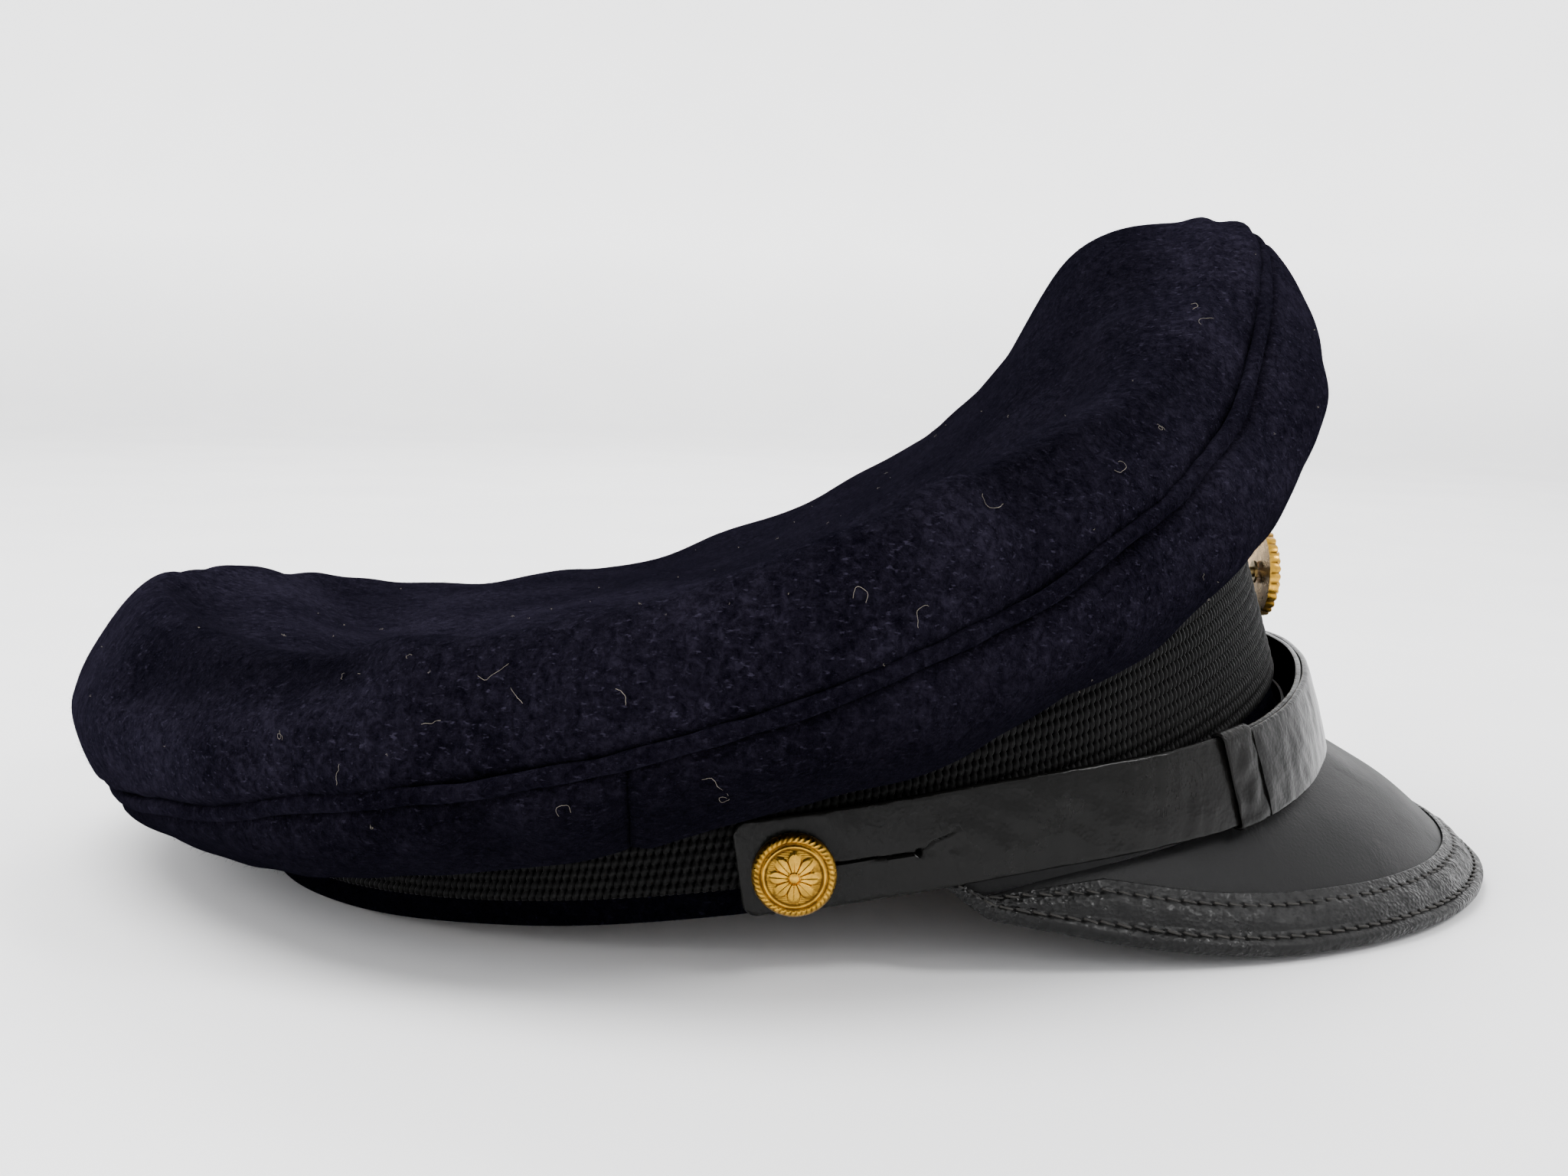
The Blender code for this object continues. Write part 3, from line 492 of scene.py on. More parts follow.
def visor_paint():
    paint = Paint("visor_paint")
    paint.base((0.010, 0.010, 0.0105), 0.5)
    dust = paint.noise(30.0, 6.0, 0.7)
    paint.colour(dust, 0.3, (0.0044, 0.0044, 0.0046), 0.7, (0.0082, 0.0083, 0.0086))
    paint.rough(dust, 0.3, 0.7, 0.42, 0.56)
    paint.set("Specular IOR Level", 0.10)
    paint.relief(paint.noise(70.0, 3.0), 0.16, 0.0008)
    paint.relief(paint.noise(1500.0, 3.0, 0.6), 0.25, 0.0003)
    worn = paint.spread(paint.noise(38.0, 3.0), 0.55, 0.70)
    creases = paint.noise(300.0, 4.0, 0.65, (0.6, 1.6, 1.0), 1.5)
    paint.relief(paint.sum(creases, worn, "MULTIPLY"), 0.5, 0.0006)
    return paint.material


def binding_paint():
    """Coated cloth: a fine plain weave shows through its black skin."""
    paint = Paint("binding_paint")
    paint.base((0.006, 0.006, 0.006), 0.38)
    paint.set("Specular IOR Level", 0.17)
    dust = paint.noise(55.0, 5.0, 0.7)
    paint.colour(dust, 0.35, (0.0026, 0.0026, 0.0026), 0.72, (0.0070, 0.0070, 0.0070))
    weave = paint.cells(1250.0, "F1", (1.0, 0.8, 1.2))
    shown = paint.spread(paint.noise(26.0, 3.0), 0.44, 0.60, 0.10, 1.0)
    speckle = paint.spread(paint.noise(900.0, 3.0, 0.7), 0.35, 0.65, 0.20, 0.60)
    paint.link(paint.sum(speckle, paint.spread(shown, 0.1, 1.0, 0.12, -0.06)), "Roughness")
    paint.relief(paint.sum(weave, shown, "MULTIPLY"), 0.7, 0.0005)
    paint.relief(paint.noise(130.0, 3.0, 0.6, (1.0, 1.0, 0.5)), 0.14, 0.0006)
    return paint.material


def gilt_paint(name, light, tarnish):
    paint = Paint(name)
    paint.base(light, 0.3, 1.0)
    wear = paint.noise(420.0, 4.0, 0.65)
    depth = paint.attribute("hollow")
    patches = paint.spread(wear, 0.42, 0.72, 0.0, 0.55)
    dirt = paint.sum(patches, paint.sum(depth, 0.9, "MULTIPLY"))
    paint.link(paint.mix(dirt, light, tarnish), "Base Color")
    paint.rough(paint.sum(wear, depth), 0.3, 1.4, 0.22, 0.6)
    paint.relief(wear, 0.15, 0.0002)
    return paint.material


def plain_paint(name, dark, light, roughness, specular=0.2):
    paint = Paint(name)
    paint.base(dark, roughness)
    paint.set("Specular IOR Level", specular)
    tone = paint.noise(800.0, 3.0, 0.6)
    paint.colour(tone, 0.35, dark, 0.68, light)
    paint.rough(tone, 0.3, 0.7, roughness * 0.85, min(1.0, roughness * 1.15))
    return paint.material


def metal_paint(name, colour, roughness):
    paint = Paint(name)
    paint.base(colour, roughness, 1.0)
    brushed = paint.noise(900.0, 3.0, 0.6, (1.0, 0.2, 1.0))
    paint.rough(brushed, 0.3, 0.7, roughness * 0.7, roughness * 1.5)
    dull = tuple(c * 0.7 for c in colour)
    paint.colour(paint.noise(140.0, 4.0), 0.35, dull, 0.65, colour)
    paint.relief(brushed, 0.15, 0.0002)
    return paint.material


def cloth_paint(name, dark, light, roughness, scale, depth):
    paint = Paint(name)
    paint.base(dark, roughness)
    paint.set("Sheen Weight", 0.2)
    weave = paint.cells(scale, "F1", (1.0, 1.0, 1.6))
    tone = paint.noise(60.0, 4.0, 0.6)
    paint.colour(tone, 0.35, dark, 0.7, light)
    paint.rough(tone, 0.3, 0.7, roughness * 0.9, min(1.0, roughness * 1.15))
    paint.relief(weave, 0.5, depth)
    return paint.material


# ------------------------------------------------------------ meshes

def make_piece(name, points, faces, material, body, slot, nodes=(), smooth=50, flip=False):
    """A piece that rides on a body and replaces CAD nodes. Edges past smooth degrees are sharp."""
    if flip:
        faces = [face[::-1] for face in faces]
    mesh = bpy.data.meshes.new(name)
    mesh.from_pydata(np.asarray(points, float).reshape(-1, 3).tolist(), [], faces)
    mesh.validate()
    mesh.shade_smooth()
    if smooth < 180:
        mesh.set_sharp_from_angle(angle=math.radians(smooth))
    mesh.materials.append(material)
    thing = bpy.data.objects.new(name, mesh)
    bpy.context.scene.collection.objects.link(thing)
    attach(thing, body)
    if nodes:
        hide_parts(*nodes)
    return thing


def add_attribute(piece, name, values):
    """A value per point, and 0 for the points past the last value."""
    filled = np.zeros(len(piece.data.vertices), np.float32)
    filled[:values.size] = values.ravel()
    piece.data.attributes.new(name, "FLOAT", "POINT").data.foreach_set("value", filled)


def grid_faces(rows, columns, wrap_rows=False, wrap_columns=False, first=0, flip=False):
    """Quads over a grid of points that are numbered row by row."""
    i = np.arange(rows if wrap_rows else rows - 1)
    j = np.arange(columns if wrap_columns else columns - 1)
    ii, jj = np.meshgrid(i, j, indexing="ij")
    k, m = (ii + 1) % rows, (jj + 1) % columns
    quads = np.stack([ii * columns + jj, k * columns + jj, k * columns + m, ii * columns + m], -1)
    quads = quads.reshape(-1, 4) + first
    return (quads[:, ::-1] if flip else quads).tolist()


def surface_normals(grid, wrap):
    """Unit normals of a grid of points. Rows run round, columns run along."""
    if wrap:
        across = np.roll(grid, -1, 0) - np.roll(grid, 1, 0)
    else:
        across = np.gradient(grid, axis=0)
    along = np.gradient(grid, axis=1)
    normal = np.cross(along, across)
    return normal / np.maximum(np.linalg.norm(normal, axis=-1, keepdims=True), 1e-12)


def shell_mesh(outer, inner, wrap=False, poles=None):
    """Points and faces of a closed shell between two grids. Last columns may meet in two poles."""
    rows, columns = outer.shape[:2]
    count = rows * columns
    points = np.concatenate([outer.reshape(-1, 3), inner.reshape(-1, 3)])
    faces = grid_faces(rows, columns, wrap, False, 0, True)
    faces += grid_faces(rows, columns, wrap, False, count, False)
    last = columns - 1
    for i in range(rows if wrap else rows - 1):
        k = (i + 1) % rows
        faces.append((i * columns, k * columns, count + k * columns, count + i * columns))
        a, b = i * columns + last, k * columns + last
        if poles is None:
            faces.append((b, a, count + a, count + b))
        else:
            faces.append((b, a, 2 * count))
            faces.append((count + a, count + b, 2 * count + 1))
    if poles is not None:
        points = np.concatenate([points, np.array(poles, float)])
    if not wrap:
        for j in range(last):
            faces.append((j + 1, j, count + j, count + j + 1))
            a = (rows - 1) * columns + j
            faces.append((a, a + 1, count + a + 1, count + a))
    return points, faces


def make_shell(name, outer, inner, *told, wrap=False, poles=None, **more):
    return make_piece(name, *shell_mesh(outer, inner, wrap, poles), *told, **more)


def clamp(value):
    return np.clip(value, 0, 1)


def hump(value, width):
    """A smooth hump of height 1 over a value of 0."""
    return np.exp(-(value / width) ** 2)


def eased(share):
    return share * share * (3 - 2 * share)


def unit(vectors):
    return vectors / np.linalg.norm(vectors, axis=-1, keepdims=True)


def line_run(line):
    """Lengths from the start of a line of points to each of them."""
    return np.concatenate([[0], np.cumsum(np.linalg.norm(np.diff(line, axis=0), axis=1))])


def line_gap(places, line):
    """Distances in metres from places to a line of points in millimetres."""
    best = np.full(places.shape[:-1], np.inf)
    for start, end in zip(line, line[1:]):
        start, end = np.array(start) * MM, np.array(end) * MM
        reach = end - start
        share = clamp(((places - start) @ reach) / max(reach @ reach, 1e-12))
        gap = np.linalg.norm(places - start - share[..., None] * reach, axis=-1)
        best = np.minimum(best, gap)
    return best


def signed_power(value, power):
    return np.sign(value) * np.abs(value) ** power


def oval(angle, side, front, rear, power=2.0):
    turn = np.radians(angle)
    cosine = np.cos(turn)
    x = -side * signed_power(np.sin(turn), 2 / power)
    y = -np.where(cosine > 0, front, rear) * signed_power(cosine, 2 / power)
    return x, y


def front_share(angle):
    return np.maximum(0.0, np.cos(np.radians(angle))) ** 2


def corner_share(angle):
    near = np.minimum(np.abs((np.asarray(angle, float) + 180) % 360 - 180), CORNER_SPAN)
    return np.sin(np.pi * near / CORNER_SPAN) ** 2


def band_base(y):
    share = (BAND_CENTRE_Y + BAND_END - y) / (2 * BAND_END)
    share = np.maximum(0.0, share - BAND_FLAT_SHARE) / (1 - BAND_FLAT_SHARE)
    return BAND_RISE * share ** BAND_RISE_POWER


def band_height(angle):
    turn = np.radians(angle)
    gain = BAND_HEIGHT_FRONT_GAIN * np.cos(turn)
    return BAND_HEIGHT + gain - BAND_HEIGHT_SIDE_LOSS * np.sin(turn) ** 2


def spread_out(*values):
    return np.broadcast_arrays(*(np.asarray(v, float) for v in values))


def band_point(angle, out, up):
    """Points on the band: degrees from its front, metres out of its face and up from its foot."""
    angle, out, up = spread_out(angle, out, up)
    _, base_y = oval(angle, BAND_SIDE, BAND_END, BAND_END, BAND_POWER)
    side = BAND_SIDE + out - BAND_TAPER_SIDE * up
    front = BAND_END + out - BAND_TAPER_FRONT * up
    rear = BAND_END + out - BAND_TAPER_SIDE * up
    x, y = oval(angle, side, front, rear, BAND_POWER)
    rise = band_base(BAND_CENTRE_Y + base_y)
    y = BAND_CENTRE_Y + y + up * math.sin(BAND_LEAN)
    return np.stack([x, y, rise + up * math.cos(BAND_LEAN)], -1)


def outwards_from_band(points):
    """Level unit vectors from the band's middle to points."""
    return unit((points - np.array((0, BAND_CENTRE_Y, 0))) * np.array((1, 1, 0)))


def between(before, start, end, after, share):
    """A smooth curve through four points, at a share of the way from start to end."""
    squared = share * share
    cubed = squared * share
    return 0.5 * (
        2 * start
        + (end - before) * share
        + (2 * before - 5 * start + 4 * end - after) * squared
        + (3 * start - before - 3 * end + after) * cubed
    )


def crown_ring(index, angle):
    side, front, rear, heights = CROWN_RINGS[index]
    x, y = oval(angle, side * MM, front * MM, rear * MM)
    heights = np.array(heights) * MM
    place = (angle % 360) / 30
    i = np.floor(place).astype(int)
    near = [heights[(i + k) % 12] for k in (-1, 0, 1, 2)]
    return np.stack([x, CROWN_CENTRE_Y + y, between(*near, place - i)], -1)


def crown_profiles(angles):
    """Points from the band's seam to the crown's centre at each angle, and lengths along them."""
    seam = band_point(angles, -FELT / 2, band_height(angles) + SEAM_UP)
    rings = [crown_ring(i, angles) for i in range(len(CROWN_RINGS))]
    outwards = outwards_from_band(seam)
    centre = np.broadcast_to(np.array((0, CROWN_CENTRE_Y, CROWN_CENTRE_Z)), seam.shape)
    beyond = crown_ring(len(CROWN_RINGS) - 1, angles + 180)
    knots = [rings[0] - outwards * (24 * MM), seam] + rings + [centre, beyond]
    points = []
    for i in range(1, len(knots) - 2):
        for step in range(PROFILE_STEPS):
            points.append(between(*knots[i - 1:i + 3], step / PROFILE_STEPS))
    points.append(centre)
    points = np.stack(points, 1)
    steps = np.linalg.norm(np.diff(points, axis=1), axis=2)
    lengths = np.concatenate([np.zeros((len(angles), 1)), np.cumsum(steps, 1)], 1)
    return points, lengths


def resampled(wanted, lengths, points):
    """Points at the wanted lengths along each row of points."""
    found = np.empty(wanted.shape + (3,))
    for i in range(len(wanted)):
        for axis in range(3):
            found[i, :, axis] = np.interp(wanted[i], lengths[i], points[i, :, axis])
    return found


class CrownGrid:
    """A patch of the crown's outer surface, with a row of points at each angle. A row runs from
    start metres past the welt to a share, end, of the way to the crown's centre, where outwards is
    1, or to the band, where it is -1."""

    def __init__(self, angles, outwards, count, start, end, power=1.0):
        points, lengths = crown_profiles(angles)
        welt = lengths[:, WELT_RING * PROFILE_STEPS]
        half = (lengths[:, -1] - welt) if outwards > 0 else welt
        low = (start / half)[:, None]
        shares = low + (end - low) * np.linspace(0, 1, count) ** power
        self.distance = outwards * shares * half[:, None]
        self.half = half
        along = welt[:, None] + self.distance
        self.points = resampled(along, lengths, points)


def visor_grid(sides, distances, depths):
    """Points of the visor. Distances run inwards from its outer edge and are negative past it. The
    ends turn into flat strips on the band, behind the chin strap."""
    def place(side, reach):
        turn = side * VISOR_ROOT_ANGLE
        root = band_point(turn, VISOR_ROOT_OUT, VISOR_ROOT_UP - CORNER_SAG * corner_share(turn))
        angle = np.radians(side * 90)
        out = VISOR_SIDE + VISOR_REACH * np.abs(np.cos(angle)) ** VISOR_OUTLINE_POWER
        corner = (np.abs(side) * 90 - VISOR_FLAT_ANGLE) / (90 - VISOR_FLAT_ANGLE)
        corner = np.maximum(0.0, corner)
        height = VISOR_EDGE_HEIGHT + VISOR_CORNER_RISE * corner ** VISOR_CORNER_POWER
        edge = np.stack([-out * np.sin(angle), VISOR_CENTRE_Y - out * np.cos(angle), height], -1)
        bulge = VISOR_CROWNING * 4 * reach * (1 - reach) * (1 - side * side)
        spot = root + (edge - root) * reach[..., None]
        return spot + VISOR_CROWNING_WAY * bulge[..., None]

    sides, distances, depths = spread_out(sides, distances, depths)
    one = np.ones_like(sides)
    length = np.linalg.norm(place(sides, one) - place(sides, 0 * one), axis=-1)
    reach = clamp(1 - distances / length)
    step = 0.02
    across = place(sides + step, reach) - place(sides - step, reach)
    along = place(sides, reach) - place(sides, reach - step)
    past = np.maximum(0.0, -distances)
    spots = place(sides, reach) + unit(along) * past[..., None]
    spots = spots - unit(np.cross(across, along)) * depths[..., None]
    share = clamp((np.abs(sides) - VISOR_END) / VISOR_END_SPAN)
    share = eased(share)[..., None]
    up = VISOR_STRIP_UP + np.minimum(distances, VISOR_STRIP_REACH)
    flat = band_point(sides * VISOR_ROOT_ANGLE, 0.3 * MM - 0.4 * depths, up)
    return spots + (flat - spots) * share


def visor_length(sides):
    ends = visor_grid(sides, 1.0, 0.0) - visor_grid(sides, 0.0, 0.0)
    return np.linalg.norm(ends, axis=-1)


def strap_point(angle, out, up):
    share, corner = front_share(angle), corner_share(angle)
    clear = STRAP_OUT + STRAP_FRONT_OUT * share + CORNER_OUT * corner
    foot = STRAP_UP - STRAP_FRONT_DROP * share - CORNER_SAG * corner
    return band_point(angle, clear + out, foot + up)


WAVES = np.random.default_rng(11)
NOISE_WAVES = 14


def soft_noise(points, size):
    """Smooth noise of about unit height with features of a size in metres."""
    total = np.zeros(points.shape[:-1])
    for _ in range(NOISE_WAVES):
        direction = WAVES.normal(size=3)
        direction *= (0.6 + 0.8 * WAVES.random()) * math.tau / size / np.linalg.norm(direction)
        total += np.sin(points @ direction + WAVES.random() * math.tau)
    return total / math.sqrt(NOISE_WAVES / 2)


def creased(points, folds):
    """Height added by folds, each a line of points with a width and a height in millimetres."""
    total = np.zeros(points.shape[:-1])
    for width, height, *line in folds:
        total += height * MM * hump(line_gap(points, line), width * MM)
    return total


# Folds and hollows of the crown, in millimetres: width, height, then the line's points.
TOP_FOLDS = (
    (8, -3.4, (-28, 121, 54), (-62, 104, 56), (-96, 80, 56)),
    (8, 2.4, (23, 118, 49), (-40, 96, 54), (-107, 59, 57)),
    (9, -2.6, (40, 104, 48), (-20, 84, 52), (-96, 42, 58)),
    (7, -3.0, (-70, 112, 44), (-87, 101, 46), (-102, 74, 54)),
    (8, -3.6, (-96, -34, 86), (-92, -39, 90), (-81, -53, 96), (-61, -67, 106)),
    (9, 1.8, (-84, -30, 88), (-66, -48, 98), (-40, -62, 110)),
    (7, -1.8, (-100, -12, 76), (-84, -16, 80)),
)
SIDE_FOLDS = (
    (6, -2.8, (-114, 54, 39), (-111, 47, 27)),
    (8, -1.6, (-112, 20, 40), (-106, 26, 30)),
    (9, 1.2, (-110, -16, 52), (-104, -20, 40)),
)


def limited(lift):
    """Keeps hollows clear of the padding under the cloth."""
    return np.where(lift < 0, PADDING_CLEARANCE * np.tanh(lift / PADDING_CLEARANCE), lift)


def downward(normals):
    """How much a surface faces the floor, from 0 to 1."""
    return clamp(0.25 - 1.15 * normals[..., 2])


def puckered(points, distance):
    """Small gathers beside a seam."""
    return soft_noise(points, PUCKER_SIZE) * np.exp(-distance / PUCKER_REACH) * PUCKER_HEIGHT


def seam_roll(distance, depth, width):
    """Cloth turning down into a seam at distance 0."""
    return -depth * hump(distance, width)


def waved(points, waves):
    """Heights of several layers of soft waves, one after another."""
    for size, height in waves:
        yield soft_noise(points, size * MM) * height * MM


def build_crown_top(felt):
    around = np.arange(TOP_STEPS) * 360 / TOP_STEPS
    top = CrownGrid(around, 1, TOP_ROWS, SEAM_START, TOP_END, 1.15)
    seam = seam_roll(top.distance - SEAM_START, SEAM_DEPTH, SEAM_SPREAD)
    lift = seam * (1 - 0.5 * front_share(around))[:, None]
    lift += puckered(top.points, top.distance)
    for wave in waved(top.points, TOP_WAVES):
        lift += wave
    folds = creased(top.points, TOP_FOLDS)
    lift = limited(lift + folds)
    fade = clamp((1 - top.distance / top.half[:, None]) / TOP_FADE)
    normals = surface_normals(top.points, True)
    outer = top.points + normals * (lift * fade)[..., None]
    inner = outer - surface_normals(outer, True) * FELT
    centre = np.array((0, CROWN_CENTRE_Y, CROWN_CENTRE_Z))
    piece = make_shell("crown_top", outer, inner, felt, "cap", "felt", ["crown_top_panel"], 180,
                       wrap=True, poles=(centre, centre - UP * FELT))
    # Painted shade: the felt is painted darker inward of the crest in the crown's hollow (none at
    # the rear), in the valleys of the folds and in the seam groove by the welt.
    level = 1 - np.maximum(0, -np.cos(np.radians(around)))[:, None] ** 2
    hollow = 0.55 * level * clamp((top.distance - 19 * MM) / (9 * MM))
    hollow += 0.40 * clamp(-folds / (3.0 * MM))
    hollow = np.maximum(hollow, hump(top.distance, 2.0 * MM))
    add_attribute(piece, "shade", np.minimum(hollow, 1))
    return np.concatenate([outer, outer[:1]]), np.concatenate([normals, normals[:1]])


def build_crown_quarter(felt, label, start, end):
    count = round((end - start) * 1.5) + 1
    angles = start + (end - start) * (0.5 - 0.5 * np.cos(np.linspace(0, np.pi, count)))
    angles = 0.3 * angles + 0.7 * np.linspace(start, end, count)
    side = CrownGrid(angles, -1, QUARTER_ROWS, SEAM_START, 1.0)
    gap = side.distance
    from_seam = np.minimum(angles - start, end - angles)[:, None] * math.radians(1) * 100 * MM
    lift = seam_roll(-gap - SEAM_START, SEAM_DEPTH, SEAM_SPREAD)
    lift += seam_roll(from_seam, 0.9 * MM, 1.4 * MM)
    lift += puckered(side.points, -gap)
    inward = clamp((side.half[:, None] + gap) / (9 * MM))
    for wave in waved(side.points, SIDE_WAVES):
        lift += wave * inward
    folds = creased(side.points, SIDE_FOLDS) * inward
    lift = limited(lift + folds)
    normals = -surface_normals(side.points, False)
    outer = side.points + normals * lift[..., None]
    inner = outer + surface_normals(outer, False) * FELT
    piece = make_shell(f"crown_side_{label}", outer, inner, felt, "cap", "felt",
                       [f"crown_quarter_{label}"], 180, flip=True)
    shade = hump(gap, 2.0 * MM)
    shade = np.maximum(shade, 0.9 * hump(from_seam, 0.7 * MM))
    shade = np.maximum(shade, clamp(-folds / (4 * MM)))
    add_attribute(piece, "shade", np.maximum(shade, 0.75 * downward(normals)))
    return outer, normals


def build_crown(felt):
    grids = [build_crown_top(felt)]
    for label, start, end in (
        ("front_right", 0, SIDE_SEAM), ("rear_right", SIDE_SEAM, 180),
        ("rear_left", 180, 360 - SIDE_SEAM), ("front_left", 360 - SIDE_SEAM, 360),
    ):
        grids.append(build_crown_quarter(felt, label, start, end))
    return grids


def build_welt(felt):
    angles = np.arange(WELT_STEPS) * 360 / WELT_STEPS
    points, _ = crown_profiles(angles)
    place = WELT_RING * PROFILE_STEPS
    middle = points[:, place]
    across = unit(points[:, place + 2] - points[:, place - 2])
    ahead = unit(np.roll(middle, -1, 0) - np.roll(middle, 1, 0))
    normal = np.cross(across, ahead)
    wobble = soft_noise(middle, 24 * MM) * 0.25 * MM
    swell = 1 + soft_noise(middle, 9 * MM) * 0.05
    rings = []
    for i in range(WELT_SIDES):
        turn = math.tau * i / WELT_SIDES
        wide = WELT_HALF_WIDTH * signed_power(math.cos(turn), 0.9) * swell + wobble
        high = (WELT_HALF_HEIGHT * signed_power(math.sin(turn), 0.9) - WELT_SUNK) * swell
        rings.append(middle + across * wide[:, None] + normal * high[:, None])
    grid = np.stack(rings, 1)
    faces = grid_faces(WELT_STEPS, WELT_SIDES, True, True, 0, True)
    piece = make_piece("crown_piping", grid, faces, felt, "cap", "felt", ["crown_welt"], 180)


# ------------------------------------------------------------ band

def braid_height(angle):
    return BRAID_LOW + BRAID_LOW_FRONT_GAIN * front_share(angle)


def build_band_cloth(felt):
    angles = np.arange(240) * 1.5
    ups = np.linspace(0, 1, 12)[None, :] * band_height(angles)[:, None]
    wave = soft_noise(band_point(angles[:, None], 0, ups), 30 * MM) * 0.12 * MM
    outer = band_point(angles[:, None], BAND_CLOTH_OUT + wave, ups)
    inner = band_point(angles[:, None], BAND_CLOTH_IN + wave, ups)
    piece = make_shell("band_strip", outer, inner, felt, "cap", "felt", ["band_cloth"], wrap=True)


def build_braid(braid):
    """Braid woven in ribs of oval beads, each row shifted by half a bead from the next."""
    steps = BRAID_BEADS * BRAID_BEAD_STEPS
    angles = np.arange(steps) * 360 / steps
    low = braid_height(angles)
    high = band_height(angles) - BRAID_BELOW_TOP
    rows = BRAID_RIBS * BRAID_RIB_STEPS + 1
    rib = np.linspace(0, BRAID_RIBS, rows)[None, :]
    ups = low[:, None] + (high - low)[:, None] * rib / BRAID_RIBS
    index = np.minimum(np.floor(rib), BRAID_RIBS - 1)
    relief = np.zeros((steps, rows))
    for neighbour in (index - 1, index, index + 1):
        across = (rib - neighbour - 0.5) / 0.62
        along = np.arange(steps)[:, None] / BRAID_BEAD_STEPS
        along = along + 0.5 * (neighbour % 2) + 0.25 * across
        along = 2 * (along - np.round(along))
        relief = np.maximum(relief, np.sqrt(clamp(1 - across ** 2 - along ** 2)))
    outer = band_point(angles[:, None], (-0.95 + 1.0 * relief) * MM, ups)
    inner = band_point(angles[:, None], -1.2 * MM, ups)
    piece = make_shell("braid", outer, inner, braid, "cap", "braid", ["braid_band"], 180,
                       wrap=True)
    # hollow: how deep each point lies between the beads, which braid_paint paints dark as painted
    # shade.
    add_attribute(piece, "hollow", 1 - relief)


def build_sweatband(leather):
    angles = np.arange(200) * 1.8
    low, high = SWEATBAND_LOW, band_height(angles) - SWEATBAND_BELOW_TOP
    ups = low + (high - low)[:, None] * np.linspace(0, 1, 16)[None, :]
    sag = soft_noise(band_point(angles[:, None], 0, ups), 40 * MM) * 0.25 * MM
    base = SWEATBAND_OUT - SWEATBAND_LEAN * ups + sag
    outer = band_point(angles[:, None], base, ups)
    inner = band_point(angles[:, None], base - SWEATBAND_THICKNESS, ups)
    piece = make_shell("sweatband_leather", outer, inner, leather, "cap", "sweat_leather",
                       ["sweatband"], wrap=True)
    overcast = []
    for angle in np.arange(0, 360, 2.1):
        low = band_point(angle, SWEATBAND_OUT - 1.35 * MM, 3.0 * MM)
        high = band_point(angle + 0.5, SWEATBAND_OUT - 1.55 * MM, 5.2 * MM)
        overcast.append((low, high))
    add_stitches("sweatband_stitches", overcast, 0.22 * MM, thread, "cap", "sweat_leather")


def capsules(ends, radius):
    """Points and faces of many short round-ended bars."""
    sides = 6
    ends = np.asarray(ends, float)
    start, end = ends[:, 0], ends[:, 1]
    axis = unit(end - start)
    first = unit(np.cross(axis, np.where(np.abs(axis[:, 2:]) < 0.9, UP, np.array((1.0, 0, 0)))))
    second = np.cross(axis, first)
    rings = ((start, -1.0, 0.25), (start, -0.7, 0.75), (start, 0.0, 1.0),
             (end, 0.0, 1.0), (end, 0.7, 0.75), (end, 1.0, 0.25))
    points = []
    for place, shift, wide in rings:
        centre = place + axis * shift * radius
        for i in range(sides):
            turn = math.tau * i / sides
            spoke = first * math.cos(turn) + second * math.sin(turn)
            points.append(centre + spoke * radius * wide)
    per = len(rings) * sides
    points = np.stack(points, 1).reshape(-1, 3)
    quads = np.array(grid_faces(len(rings), sides, False, True))
    faces = (quads[None] + per * np.arange(len(ends))[:, None, None]).reshape(-1, 4).tolist()
    for k in range(len(ends)):
        faces.append([k * per + i for i in range(sides)])
        faces.append([k * per + per - 1 - i for i in range(sides)])
    return points, faces


def add_stitches(name, ends, radius, material, body, slot):
    make_piece(name, *capsules(ends, radius), material, body, slot, flip=True)


# ------------------------------------------------------------ visor

def thinned(distance, depth):
    """The depth of a layer of the visor: its layers draw together towards its edge."""
    drop = VISOR_THINNING * (1 - eased(clamp(distance / VISOR_THINNING_REACH)))
    inside = drop + depth * (1 - drop / VISOR_STACK)
    return np.where(depth < 0, drop + depth, np.where(depth < VISOR_STACK, inside, depth))


def edge_stations(distance, pitch, start, end):
    """Values of side that step evenly along the visor at a distance from its edge."""
    sides = np.linspace(start, end, 2000)
    line = visor_grid(sides, distance, 0.0)
    run = line_run(line)
    count = max(2, round(run[-1] / pitch))
    return np.interp(np.linspace(0, run[-1], count + 1), run, sides), count


def visor_layer(name, node, material, slot, count, rows, top, bottom, shape):
    sides = np.linspace(-VISOR_LIMIT, VISOR_LIMIT, count)[:, None]
    distance = np.linspace(1, 0, rows)[None, :] * visor_length(sides)
    lift = shape(visor_grid(sides, distance, 0.0))
    outer = visor_grid(sides, distance, thinned(distance, top + 0 * distance) - lift)
    inner = visor_grid(sides, distance, thinned(distance, bottom + 0 * distance) - lift)
    make_shell(name, outer, inner, material, "cap", slot, [node])


def binding_share(sides):
    """How much of its width the binding keeps where the visor gets short."""
    return np.minimum(BINDING_WIDTH, 0.8 * visor_length(sides)) / BINDING_WIDTH


